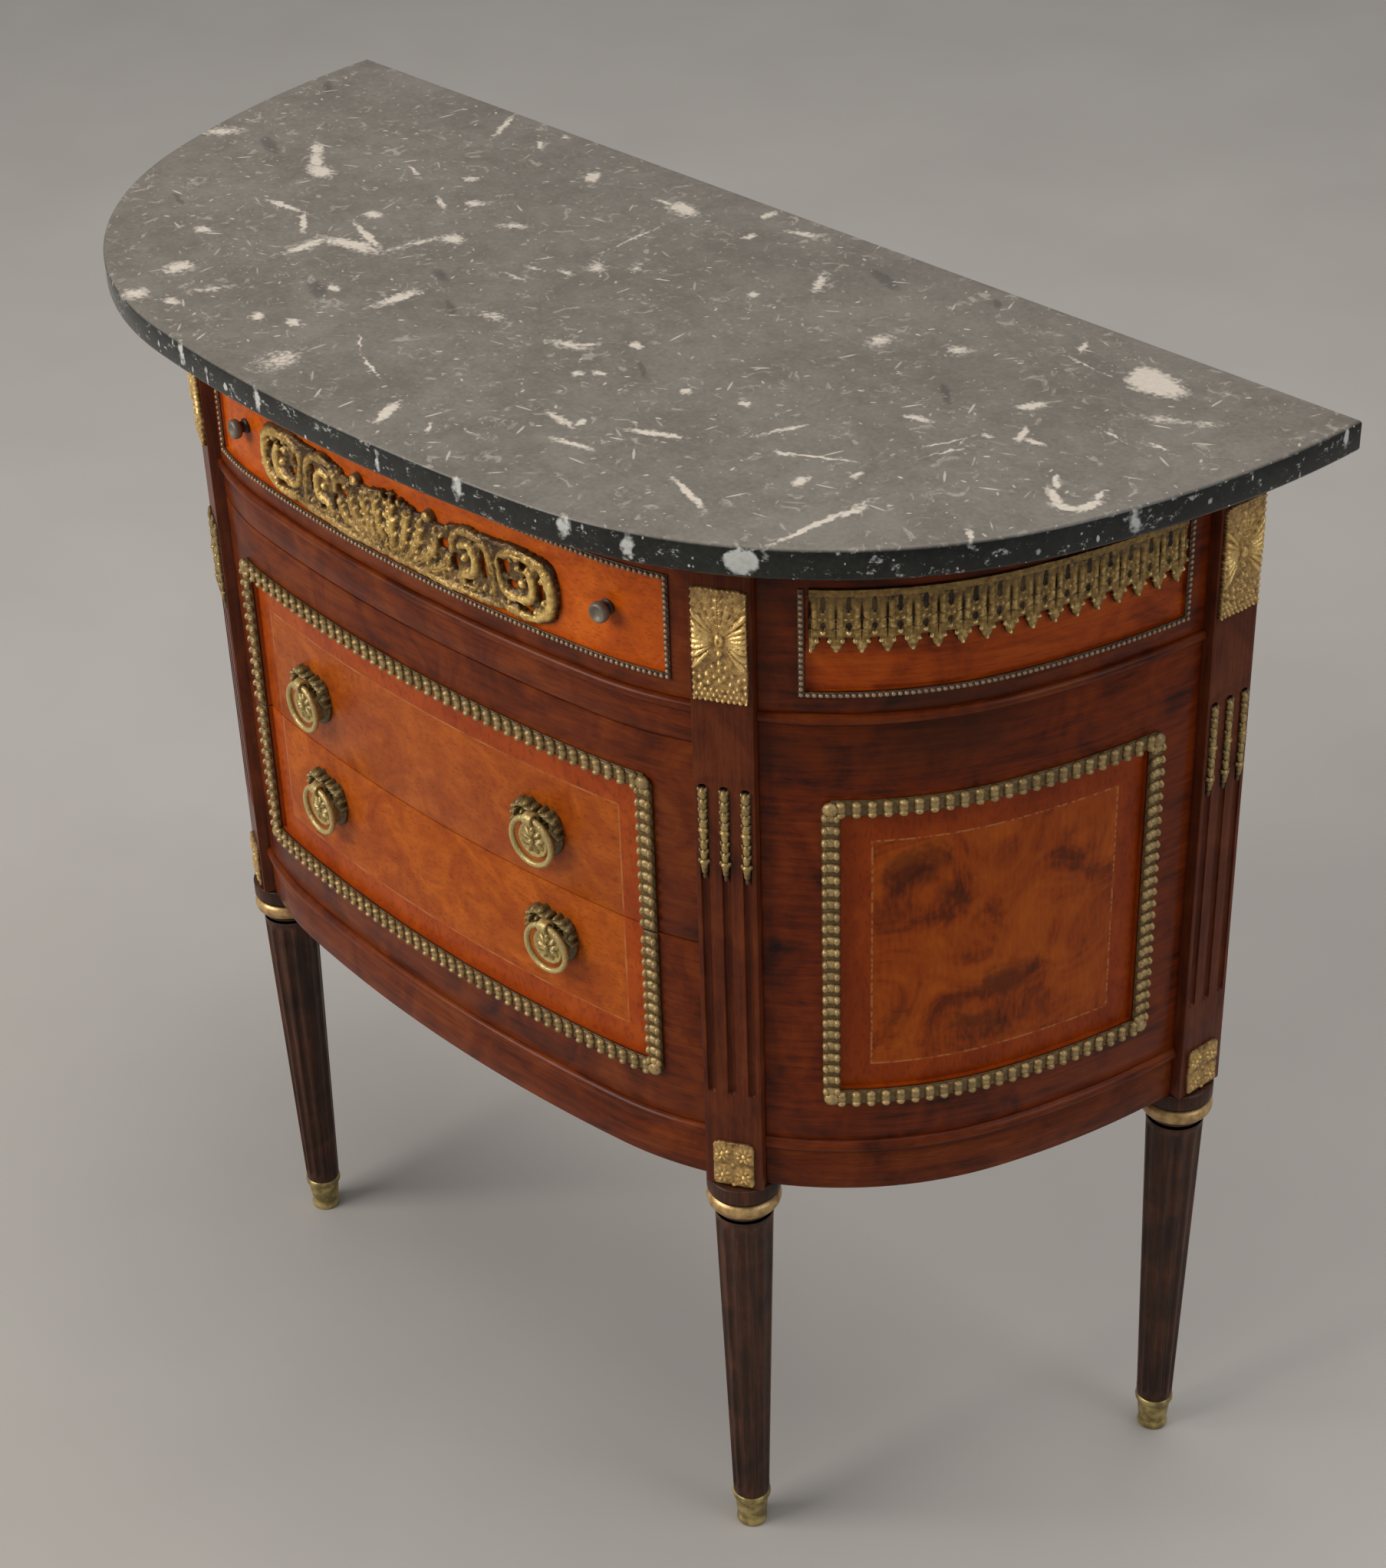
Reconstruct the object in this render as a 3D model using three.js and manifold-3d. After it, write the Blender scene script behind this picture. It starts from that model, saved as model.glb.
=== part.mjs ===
// Demilune commode chest: a marble top on four fluted stiles with turned legs, a frieze drawer over two
// deep drawers that meet without a rail, and curved side panels, all dressed with brass mounts.
// Millimetres, +Z up, the drawers face -Y. The origin is the centre of the footprint on the floor.

import * as THREE from 'three';
import { mergeVertices } from 'three/addons/utils/BufferGeometryUtils.js';
import Module from 'manifold-3d';

const wasm = await Module();
wasm.setup();

// Clearances
const fitGap = 0.3; // between fixed neighbours
const drawerGap = 1; // round each drawer front
const cutOverrun = 4; // how far a cutter passes what it cuts
const weldDistance = 0.001; // corners nearer than this are one corner

// Marble
const marbleThickness = 21;
const marbleEdgeRound = 2.5;

// Plan of the marble's edge: three tangent arcs from the front centre to each back corner
const bowRadius = 1345;
const shoulderRadius = 315;
const sideRadius = 637;
const bowTurnDegrees = 7.8;
const shoulderTurnDegrees = 60.8;
const sideTurnDegrees = 20.3;
const turnStepDegrees = 3.9;
const facetLength = 46;

// How far the body lies inside the marble's edge
const stileFaceInset = 51;
const wallSetback = 8;
const nosingSetback = 5;
const backReveal = 15;

// Stiles
const stileWidth = 40;
const stileDepth = 40;
const frontStileTurnDegrees = 28;
const fluteCount = 3;
const flutePitch = 14;
const fluteWidth = 6;
const fluteFootMargin = 78;
const fluteHeadMargin = 154.7;
const fluteSides = 8;

// Layers that stand on each other, from the floor up to the marble
const legHeight = 337;
const apronHeight = 32.3;
const bottomBoardThickness = 9.4;
const lowerDrawerHeight = 151.3;
const upperDrawerHeight = 154;
const railHeight = 22.3;
const dustBoardThickness = 7.4;
const friezeHeight = 101;
const carcaseTopThickness = 23.7;

// Wooden walls
const wallThickness = 18;
const railDepth = 22;
const backPanelThickness = 10;
const partitionThickness = 12;
const runnerWidth = 14;
const runnerHeight = 14;
const runnerRise = 4.7; // above the split between the lower drawers
const runnerSetback = 12;

// Panel fields and the brass mouldings that frame them
const fieldRecess = 3;
const mouldingWidth = 12;
const mouldingHeight = 4.5;
const mouldingShoulderShare = 0.55;
const mouldingCrownShare = 0.25;
const mouldingMarginBelow = 32.3;
const mouldingMarginAbove = 32;
const frontMouldingMargin = 31.8;
const sideMouldingFrontMargin = 38.7;
const sideMouldingBackMargin = 30.2;
const friezeFieldRecess = 2;
const friezeMarginBelow = 16.8;
const friezeMarginAbove = 18.7;
const frontFriezeMargin = 19.3;
const sideFriezeFrontMargin = 29.7;
const sideFriezeBackMargin = 18.2;

// Drawer boxes
const drawerSideThickness = 12;
const drawerBottomThickness = 8;
const drawerSideClearance = 2.5;
const drawerHeadroom = 15;
const drawerBackClearance = 14;

// Legs, with a disc and a neck above the shaft and a tenon below it
const legDiscRadius = 25.5;
const legDiscHeight = 14.5;
const legDiscRound = 3;
const legNeckRadius = 19;
const collarHeight = 13;
const collarWall = 7;
const collarRound = 4;
const legTopRadius = 20.7;
const legFootRadius = 13.3;
const legFluteCount = 12;
const legFluteDepth = 1.8;
const legFluteRun = 8;
const legRidgeShare = 0.16;
const sabotHeight = 31;
const sabotRimRadius = 14.2;
const sabotWaistRadius = 11.8;
const sabotFootRadius = 11.3;
const sabotWall = 2.2;
const sabotFloor = 5;
const roundSides = 16;

// Plaques at the top of the stiles
const plaqueWidth = 37;
const plaqueHeight = 80;
const plaqueHeadMargin = 12.7;
const plaqueThickness = 2.5;
const plaqueScallop = 1;
const plaqueScallopPitch = 9;
const plaqueBossWidth = 22;
const plaqueBossHeight = 46;
const plaqueBossDepth = 2.5;

// Lambrequins on the side friezes
const lambrequinLap = 6; // above the sunk field
const lambrequinBand = 26;
const pendantShoulderDrop = 9;
const pendantTipDrop = 18;
const lambrequinThickness = 2.4;
const pendantPitch = 15.4;
const pendantShoulderShare = 0.34;
const lambrequinMargin = 2.2;

// Pierced mount on the frieze drawer; it sits a little to the left of the middle
const mountHalfRun = 151;
const mountShift = -6;
const mountMarginBelow = 1.5;
const mountMarginAbove = 11;
const mountThickness = 6.5;
const mountOutlineShares = [
  [0.6, 0],
  [0.86, 0.1],
  [0.96, 0.16],
  [1, 0.4],
  [0.985, 0.72],
  [0.93, 0.92],
  [0.8, 0.98],
  [0.6, 0.92],
  [0.385, 1],
  [0.35, 0.7],
  [0.315, 0.93],
  [0.23, 0.99],
  [0.1, 0.94],
];
const mountHoleShares = [0.45, 0.63, 0.84];
const mountHoleWidth = 13;
const mountHoleHeight = 22;
const mountHoleSides = 10;

// Knobs of the frieze drawer
const knobSpacing = 33; // from the end of the mount
const knobRise = 34; // from the foot of the sunk field
const knobStemRadius = 4.5;
const knobHeadRadius = 7;
const knobStemLength = 5.5;
const knobHeadLength = 6;
const knobRound = 1.5;

// Ring pulls; the upper pair sits a little to the left and the lower pair a little to the right
const pullRun = 121.5;
const upperPullShift = -4;
const lowerPullShift = 3;
const upperPullRise = 40; // above the split
const lowerPullDrop = 43.5; // below the split
const plateRadius = 13;
const plateThickness = 2.5;
const plateBossRadius = 11.8;
const plateBossDepth = 7.5;
const plateBossRimShare = 0.6;
const bowLift = 4;
const bowThickness = 5;
const bowReach = 28;
const bowRise = 26;
const bowOutlineShares = [
  [-1, 0.15],
  [-0.96, 0.35],
  [-0.88, 0.52],
  [-0.73, 0.98],
  [-0.58, 1],
  [-0.38, 0.97],
  [-0.14, 1],
  [0.08, 0.94],
  [0.24, 0.76],
  [0.4, 0.56],
  [0.6, 0.45],
  [0.57, 0.23],
  [0.4, 0.12],
  [-0.4, 0.12],
  [-0.7, 0.06],
];
const ringRadius = 17.5;
const ringTubeRadius = 2.2;
const ringClearance = 2;
const ringSegments = 24;
const ringTubeSides = 6;
const knuckleClearance = 1;
const knuckleWall = 2;
const knuckleLength = 8;

// Materials
const wood = (color) => new THREE.MeshStandardMaterial({ color, roughness: 0.4, metalness: 0 });
const mahogany = wood(0x4a1d10);
const satinwood = wood(0xa2501c);
const burrWalnut = wood(0x8a3f16);
const softwood = wood(0x9a7448);
const legWood = wood(0x32150d);
const knobMetal = new THREE.MeshStandardMaterial({ color: 0x3a342e, roughness: 0.5, metalness: 0.6 });
const brass = new THREE.MeshStandardMaterial({ color: 0xa8863c, roughness: 0.38, metalness: 1 });
const marble = new THREE.MeshStandardMaterial({ color: 0x3c3b38, roughness: 0.15, metalness: 0 });

// Sizes that follow from the ones above
const planArcs = [
  { radius: bowRadius, turn: THREE.MathUtils.degToRad(bowTurnDegrees) },
  { radius: shoulderRadius, turn: THREE.MathUtils.degToRad(shoulderTurnDegrees) },
  { radius: sideRadius, turn: THREE.MathUtils.degToRad(sideTurnDegrees) },
];
const endTurn = planArcs.reduce((sum, arc) => sum + arc.turn, 0);
const totalDepth = outlineDepth();
const flatShare = Math.cos(Math.PI / roundSides); // how much nearer the flats of a round are than its corners

const bottomBoardBottom = legHeight + apronHeight;
const bottomBoardTop = bottomBoardBottom + bottomBoardThickness;
const drawerSplit = bottomBoardTop + lowerDrawerHeight;
const railBottom = drawerSplit + upperDrawerHeight;
const dustBoardBottom = railBottom + railHeight;
const dustBoardTop = dustBoardBottom + dustBoardThickness;
const stileTop = dustBoardTop + friezeHeight;
const carcaseTopBottom = stileTop + fitGap;
const carcaseTopTop = carcaseTopBottom + carcaseTopThickness;
const marbleBottom = carcaseTopTop + fitGap;

const wallInset = stileFaceInset + wallSetback;
const wallBack = wallInset + wallThickness;
const nosingInset = stileFaceInset + nosingSetback;
const stileCentreInset = stileFaceInset + stileDepth / 2;
const backY = totalDepth / 2 - backReveal;
const backPanelBack = backY - fitGap;
const backPanelFront = backPanelBack - backPanelThickness;
const boardBack = backPanelFront - fitGap;
const frontStileTurn = THREE.MathUtils.degToRad(frontStileTurnDegrees);
const backStileTurn = turnOfBackStile();

const frontHalfRun = runAtTurn(frontStileTurn) - stileWidth / 2;
const sideStartRun = runAtTurn(frontStileTurn) + stileWidth / 2;
const sideEndRun = runAtTurn(backStileTurn) - stileWidth / 2;
const frontMouldingHalfRun = frontHalfRun - frontMouldingMargin;
const sideMouldingStartRun = sideStartRun + sideMouldingFrontMargin;
const sideMouldingEndRun = sideEndRun - sideMouldingBackMargin;
const frontFriezeHalfRun = frontHalfRun - frontFriezeMargin;
const sideFriezeStartRun = sideStartRun + sideFriezeFrontMargin;
const sideFriezeEndRun = sideEndRun - sideFriezeBackMargin;
const mouldingBottom = bottomBoardTop + mouldingMarginBelow;
const mouldingTop = railBottom - mouldingMarginAbove;
const friezeFieldBottom = dustBoardTop + friezeMarginBelow;
const friezeFieldTop = stileTop - friezeMarginAbove;

const runnerTop = drawerSplit + runnerRise;
const legTop = legHeight - fitGap;
const collarTop = legTop - legDiscHeight;
const collarBottom = collarTop - collarHeight;
const collarRadius = legNeckRadius + collarWall;
const legFootHeight = sabotHeight + fitGap;
const mountBottom = friezeFieldBottom + mountMarginBelow;
const mountTop = friezeFieldTop - mountMarginAbove;
const knobRun = mountHalfRun + knobSpacing;
const ringOut = bowLift + bowThickness + ringClearance + ringTubeRadius;
const knuckleBoreRadius = ringTubeRadius + knuckleClearance;
const knuckleRadius = knuckleBoreRadius + knuckleWall;

// Stations of the four stiles: each turns by the angle of the plan's normal there
const stations = [
  { name: 'front_left', turn: -frontStileTurn },
  { name: 'front_right', turn: frontStileTurn },
  { name: 'back_left', turn: -backStileTurn },
  { name: 'back_right', turn: backStileTurn },
];
const sides = [
  { name: 'left', sign: -1 },
  { name: 'right', sign: 1 },
];

// The commode's front lies at -Y, so its depth is what the arcs climb from front to back
function outlineDepth() {
  let start = 0;
  let depth = 0;
  for (const arc of planArcs) {
    depth += arc.radius * (Math.cos(start) - Math.cos(start + arc.turn));
    start += arc.turn;
  }
  return depth;
}

// Point of the plan at a turn of the outward normal from -Y, a given distance inside the marble's edge
function planPoint(turn, inset) {
  const reach = Math.abs(turn);
  let x = 0;
  let y = inset - totalDepth / 2;
  let start = 0;
  for (const arc of planArcs) {
    const lastArc = arc === planArcs[planArcs.length - 1];
    const end = lastArc ? reach : Math.min(reach, start + arc.turn);
    x += (arc.radius - inset) * (Math.sin(end) - Math.sin(start));
    y += (arc.radius - inset) * (Math.cos(start) - Math.cos(end));
    start += arc.turn;
    if (reach <= start) break;
  }
  return new THREE.Vector2(Math.sign(turn) * x, y);
}

// Turn of the normal at a length along the wall's face, counted from the front centre
function turnAtRun(run) {
  let left = Math.abs(run);
  let start = 0;
  for (const arc of planArcs) {
    const turn = left / (arc.radius - wallInset);
    if (turn <= arc.turn || arc === planArcs[planArcs.length - 1]) return Math.sign(run) * (start + turn);
    left -= arc.turn * (arc.radius - wallInset);
    start += arc.turn;
  }
  return Math.sign(run) * start;
}

// Length along the wall's face, from the front centre, to a turn of its normal
function runAtTurn(turn) {
  let run = 0;
  let start = 0;
  for (const arc of planArcs) {
    const lastArc = arc === planArcs[planArcs.length - 1];
    const end = lastArc ? turn : Math.min(turn, start + arc.turn);
    run += (end - start) * (arc.radius - wallInset);
    start += arc.turn;
    if (turn <= start) break;
  }
  return run;
}

// Turn at which the side of the plan reaches a depth
function turnAtDepth(y, inset) {
  const sideStart = planArcs[0].turn + planArcs[1].turn;
  const from = planPoint(sideStart, inset);
  return Math.acos(Math.cos(sideStart) - (y - from.y) / (sideRadius - inset));
}

// Turn at which the hindmost corner of a back stile comes level with the back panel
function turnOfBackStile() {
  let turn = turnAtDepth(backPanelBack - stileWidth / 2, stileCentreInset);
  for (let pass = 0; pass < 6; pass += 1) {
    const reach = (Math.sin(turn) * stileWidth) / 2 + (Math.cos(turn) * stileDepth) / 2;
    turn = turnAtDepth(backPanelBack - reach, stileCentreInset);
  }
  return turn;
}

// Even steps of each arc on both sides of the centre, shared by every curved piece so that they nest
const turnGrid = (() => {
  const grid = [0];
  let start = 0;
  for (const arc of planArcs) {
    const finest = Math.min(THREE.MathUtils.degToRad(turnStepDegrees), facetLength / arc.radius);
    const count = Math.ceil(arc.turn / finest);
    for (let step = 1; step <= count; step += 1) {
      const turn = start + (arc.turn * step) / count;
      grid.push(turn, -turn);
    }
    start += arc.turn;
  }
  return grid.sort((a, b) => a - b);
})();

function turnStops(from, to) {
  const margin = THREE.MathUtils.degToRad(turnStepDegrees) / 8;
  return [from, ...turnGrid.filter((turn) => turn > from + margin && turn < to - margin), to];
}

// Closed surfaces
function closedGeometry(points, triangles) {
  const geometry = new THREE.BufferGeometry();
  const places = points.flatMap((point) => [point.x, point.y, point.z]);
  geometry.setAttribute('position', new THREE.Float32BufferAttribute(places, 3));
  const a = new THREE.Vector3();
  let volume = 0;
  for (let i = 0; i < triangles.length; i += 3) {
    const [p, q, r] = [triangles[i], triangles[i + 1], triangles[i + 2]].map((index) => points[index]);
    volume += a.copy(p).cross(q).dot(r);
  }
  if (volume < 0) triangles.reverse();
  geometry.setIndex(triangles);
  return geometry;
}

// A skin over rings of equally many points, with flat ends; each ring's flat outline triangulates its end
function loft(rings, firstOutline, lastOutline) {
  const count = rings[0].length;
  const triangles = [];
  for (let ring = 0; ring < rings.length - 1; ring += 1) {
    for (let i = 0; i < count; i += 1) {
      const a = ring * count + i;
      const b = ring * count + ((i + 1) % count);
      triangles.push(a, b, b + count, a, b + count, a + count);
    }
  }
  const lastRing = (rings.length - 1) * count;
  const turned = (outline) => (THREE.ShapeUtils.isClockWise(outline) ? -1 : 1);
  const cap = (outline, offset, flip) => {
    for (const face of THREE.ShapeUtils.triangulateShape(outline, [])) {
      const [a, b, c] = face.map((index) => index + offset);
      const area = signedArea(face.map((index) => outline[index])) * turned(outline) * flip;
      triangles.push(...(area > 0 ? [a, b, c] : [a, c, b]));
    }
  };
  cap(firstOutline, 0, -1);
  cap(lastOutline, lastRing, 1);
  return closedGeometry(rings.flat(), triangles);
}

function signedArea([a, b, c]) {
  return (b.x - a.x) * (c.y - a.y) - (b.y - a.y) * (c.x - a.x);
}

// A piece that follows the plan: its section, a list of [inset, height], may change from stop to stop
function alongWall(stops, sectionAt) {
  const rings = stops.map((turn, stop) => sectionAt(stop).map(([inset, height]) => {
    const point = planPoint(turn, inset);
    return new THREE.Vector3(point.x, point.y, height);
  }));
  const outline = (stop) => sectionAt(stop).map(([inset, height]) => new THREE.Vector2(inset, height));
  return loft(rings, outline(0), outline(stops.length - 1));
}

function rectangle(outerInset, innerInset, bottom, top) {
  return [[innerInset, bottom], [outerInset, bottom], [outerInset, top], [innerInset, top]];
}

function curvedBlock(fromTurn, toTurn, outerInset, innerInset, bottom, top) {
  return alongWall(turnStops(fromTurn, toTurn), () => rectangle(outerInset, innerInset, bottom, top));
}

// A board of the plan's outline with a straight back and, where asked, a rounded edge
function board(inset, back, bottom, top, edgeRound) {
  const turn = turnAtDepth(back, inset);
  const shape = new THREE.Shape(turnStops(-turn, turn).map((stop) => planPoint(stop, inset)));
  const geometry = new THREE.ExtrudeGeometry(shape, {
    depth: top - bottom - 2 * edgeRound,
    bevelEnabled: edgeRound > 0,
    bevelThickness: edgeRound,
    bevelSize: edgeRound,
    bevelOffset: -edgeRound,
    bevelSegments: 2,
  });
  return geometry.translate(0, 0, bottom + edgeRound);
}

function block(fromX, toX, fromY, toY, bottom, top) {
  const geometry = new THREE.BoxGeometry(toX - fromX, toY - fromY, top - bottom);
  return geometry.translate((fromX + toX) / 2, (fromY + toY) / 2, (bottom + top) / 2);
}

function turnedAlongZ(profile) {
  const points = profile.map(([radius, height]) => new THREE.Vector2(radius, height));
  return new THREE.LatheGeometry(points, roundSides).rotateX(Math.PI / 2);
}

// Turned about an axis that points out of the wall, which is local -Y
function turnedOutwards(profile) {
  const points = profile.map(([radius, out]) => new THREE.Vector2(radius, out));
  return new THREE.LatheGeometry(points, roundSides).rotateX(Math.PI);
}

// Solids for cutting and joining
function solid(geometry) {
  const bare = new THREE.BufferGeometry();
  bare.setAttribute('position', geometry.getAttribute('position'));
  if (geometry.index) bare.setIndex(geometry.index);
  const merged = mergeVertices(bare, weldDistance);
  const index = merged.index.array;
  const faces = [];
  for (let i = 0; i < index.length; i += 3) {
    const [a, b, c] = [index[i], index[i + 1], index[i + 2]];
    if (a !== b && b !== c && c !== a) faces.push(a, b, c);
  }
  const vertProperties = merged.getAttribute('position').array;
  const made = (triVerts) => new wasm.Manifold(new wasm.Mesh({ numProp: 3, vertProperties, triVerts }));
  const first = made(new Uint32Array(faces));
  return first.volume() < 0 ? made(new Uint32Array(faces.reverse())) : first;
}

function geometryOf(piece) {
  const mesh = piece.getMesh();
  const geometry = new THREE.BufferGeometry();
  geometry.setAttribute('position', new THREE.BufferAttribute(mesh.vertProperties, 3));
  geometry.setIndex(new THREE.BufferAttribute(mesh.triVerts, 1));
  const flat = geometry.toNonIndexed();
  flat.computeVertexNormals();
  return flat;
}

function join(...geometries) {
  return geometries.map(solid).reduce((sum, piece) => sum.add(piece));
}

// Station frames: local X runs along the wall, local -Y points out of it
function frameAt(turn, inset, height) {
  const frame = new THREE.Group();
  const point = planPoint(turn, inset);
  frame.position.set(point.x, point.y, height);
  frame.rotation.z = turn;
  return frame;
}

// Inner corner of a stile on the right: its first one is met coming from the front centre, its last beyond it
function stileCorner(turn, end) {
  const frame = frameAt(turn, stileCentreInset, 0);
  frame.updateMatrixWorld();
  return new THREE.Vector3((end * stileWidth) / 2, stileDepth / 2, 0).applyMatrix4(frame.matrixWorld);
}

function stileCutters(clearance) {
  const width = stileWidth + 2 * clearance;
  const depth = stileDepth + 2 * clearance;
  return stations.map(({ turn }) => {
    const cutter = new THREE.BoxGeometry(width, depth, 2 * marbleBottom);
    const frame = frameAt(turn, stileCentreInset, 0);
    frame.updateMatrixWorld();
    return solid(cutter.applyMatrix4(frame.matrixWorld));
  });
}

function betweenStiles(piece, clearance) {
  return stileCutters(clearance).reduce((rest, cutter) => rest.subtract(cutter), piece);
}

function addPiece(parent, name, shape, material) {
  const geometry = shape instanceof THREE.BufferGeometry ? geometryOf(solid(shape)) : geometryOf(shape);
  const mesh = new THREE.Mesh(geometry, material);
  mesh.name = name;
  parent.add(mesh);
}

// A curved wall panel with a sunk field, cut to stand between two stiles
function framedPanel(fromTurn, toTurn, bottom, top, field, clearance) {
  const panel = solid(curvedBlock(fromTurn, toTurn, wallInset, wallBack, bottom, top));
  const sunk = curvedBlock(
    turnAtRun(field.fromRun),
    turnAtRun(field.toRun),
    wallInset - cutOverrun,
    wallInset + field.recess,
    field.bottom,
    field.top,
  );
  return betweenStiles(panel.subtract(solid(sunk)), clearance);
}

// Bars of a raised moulding with a domed section
function horizontalBar(fromRun, toRun, bottom) {
  const seat = wallInset - fitGap;
  const shoulder = seat - mouldingHeight * mouldingShoulderShare;
  const crown = seat - mouldingHeight;
  const rise = mouldingWidth * mouldingCrownShare;
  const top = bottom + mouldingWidth;
  const section = [
    [seat, bottom],
    [shoulder, bottom],
    [crown, bottom + rise],
    [crown, top - rise],
    [shoulder, top],
    [seat, top],
  ];
  return alongWall(turnStops(turnAtRun(fromRun), turnAtRun(toRun)), () => section);
}

function verticalBar(fromRun, bottom, top) {
  const seat = wallInset - fitGap;
  const shoulder = seat - mouldingHeight * mouldingShoulderShare;
  const crown = seat - mouldingHeight;
  const rise = mouldingWidth * mouldingCrownShare;
  const toRun = fromRun + mouldingWidth;
  const stops = [fromRun, fromRun + rise, toRun - rise, toRun].map(turnAtRun);
  const faces = [shoulder, crown, crown, shoulder];
  return alongWall(stops, (stop) => rectangle(faces[stop], seat, bottom, top));
}

function addMarbleTop(parent) {
  const outline = turnStops(-endTurn, endTurn).map((turn) => planPoint(turn, 0));
  const slab = new THREE.ExtrudeGeometry(new THREE.Shape(outline), {
    depth: marbleThickness - 2 * marbleEdgeRound,
    bevelThickness: marbleEdgeRound,
    bevelSize: marbleEdgeRound,
    bevelOffset: -marbleEdgeRound,
    bevelSegments: 2,
  });
  addPiece(parent, 'marble_top', slab.translate(0, 0, marbleBottom + marbleEdgeRound), marble);
}

function addStile(frame, name) {
  const face = -stileDepth / 2;
  const post = block(-stileWidth / 2, stileWidth / 2, face, stileDepth / 2, legHeight, stileTop);
  const radius = fluteWidth / 2;
  const foot = legHeight + fluteFootMargin;
  const head = stileTop - fluteHeadMargin;
  const straight = head - foot - 2 * radius;
  const middle = (head + foot) / 2;
  let stile = solid(post);
  for (let flute = 0; flute < fluteCount; flute += 1) {
    const x = (flute - (fluteCount - 1) / 2) * flutePitch;
    const groove = new THREE.CapsuleGeometry(radius, straight, 2, fluteSides);
    stile = stile.subtract(solid(groove.rotateX(Math.PI / 2).translate(x, face, middle)));
  }
  addPiece(frame, `stile_${name}`, stile, mahogany);
}

// One turned leg: tenon, fluted tapering shaft, neck for the collar and disc under the stile
function addLeg(frame, name) {
  const tenonRadius = (sabotWaistRadius - sabotWall) * flatShare - fitGap;
  const taper = (height) => {
    const share = (height - legFootHeight) / (collarBottom - legFootHeight);
    return legFootRadius + (legTopRadius - legFootRadius) * share;
  };
  const fluteFoot = legFootHeight + legFluteRun;
  const fluteHead = collarBottom - legFluteRun;
  const deepFrom = fluteFoot + legFluteRun;
  const deepTo = fluteHead - legFluteRun;
  const levels = [
    { height: sabotFloor + fitGap, radius: tenonRadius, flute: 0 },
    { height: legFootHeight, radius: tenonRadius, flute: 0 },
    { height: legFootHeight, radius: legFootRadius, flute: 0 },
    { height: fluteFoot, radius: taper(fluteFoot), flute: 0 },
    { height: deepFrom, radius: taper(deepFrom), flute: legFluteDepth },
    { height: deepTo, radius: taper(deepTo), flute: legFluteDepth },
    { height: fluteHead, radius: taper(fluteHead), flute: 0 },
    { height: collarBottom, radius: legTopRadius, flute: 0 },
    { height: collarBottom, radius: legNeckRadius, flute: 0 },
    { height: collarTop, radius: legNeckRadius, flute: 0 },
    { height: collarTop, radius: legDiscRadius - legDiscRound, flute: 0 },
    { height: collarTop + legDiscRound, radius: legDiscRadius, flute: 0 },
    { height: legTop, radius: legDiscRadius, flute: 0 },
  ];
  const places = [];
  for (let flute = 0; flute < legFluteCount; flute += 1) {
    places.push({ turn: flute + legRidgeShare, sunk: 0 });
    places.push({ turn: flute + 1 / 2, sunk: 1 });
    places.push({ turn: flute + 1 - legRidgeShare, sunk: 0 });
  }
  const rings = levels.map(({ height, radius, flute }) => places.map(({ turn, sunk }) => {
    const angle = (turn / legFluteCount) * 2 * Math.PI;
    const reach = radius - flute * sunk;
    return new THREE.Vector3(reach * Math.cos(angle), reach * Math.sin(angle), height);
  }));
  const outline = (ring) => ring.map((point) => new THREE.Vector2(point.x, point.y));
  addPiece(frame, `leg_${name}`, loft(rings, outline(rings[0]), outline(rings[rings.length - 1])), legWood);
}

function addCollar(frame, name) {
  const bottom = collarBottom + fitGap;
  const top = collarTop - fitGap;
  const bore = (legNeckRadius + fitGap) / flatShare;
  const collar = turnedAlongZ([
    [bore, bottom],
    [collarRadius - collarRound, bottom],
    [collarRadius, bottom + collarRound],
    [collarRadius, top - collarRound],
    [collarRadius - collarRound, top],
    [bore, top],
    [bore, bottom],
  ]);
  addPiece(frame, `leg_collar_${name}`, collar, brass);
}

function addSabot(frame, name) {
  const bore = sabotWaistRadius - sabotWall;
  const sabot = turnedAlongZ([
    [0, 0],
    [sabotFootRadius, 0],
    [sabotWaistRadius, sabotFloor],
    [sabotWaistRadius, sabotHeight - 2 * sabotWall],
    [sabotRimRadius, sabotHeight - sabotWall],
    [sabotRimRadius, sabotHeight],
    [bore, sabotHeight],
    [bore, sabotFloor],
    [0, sabotFloor],
  ]);
  addPiece(frame, `sabot_${name}`, sabot, brass);
}

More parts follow.
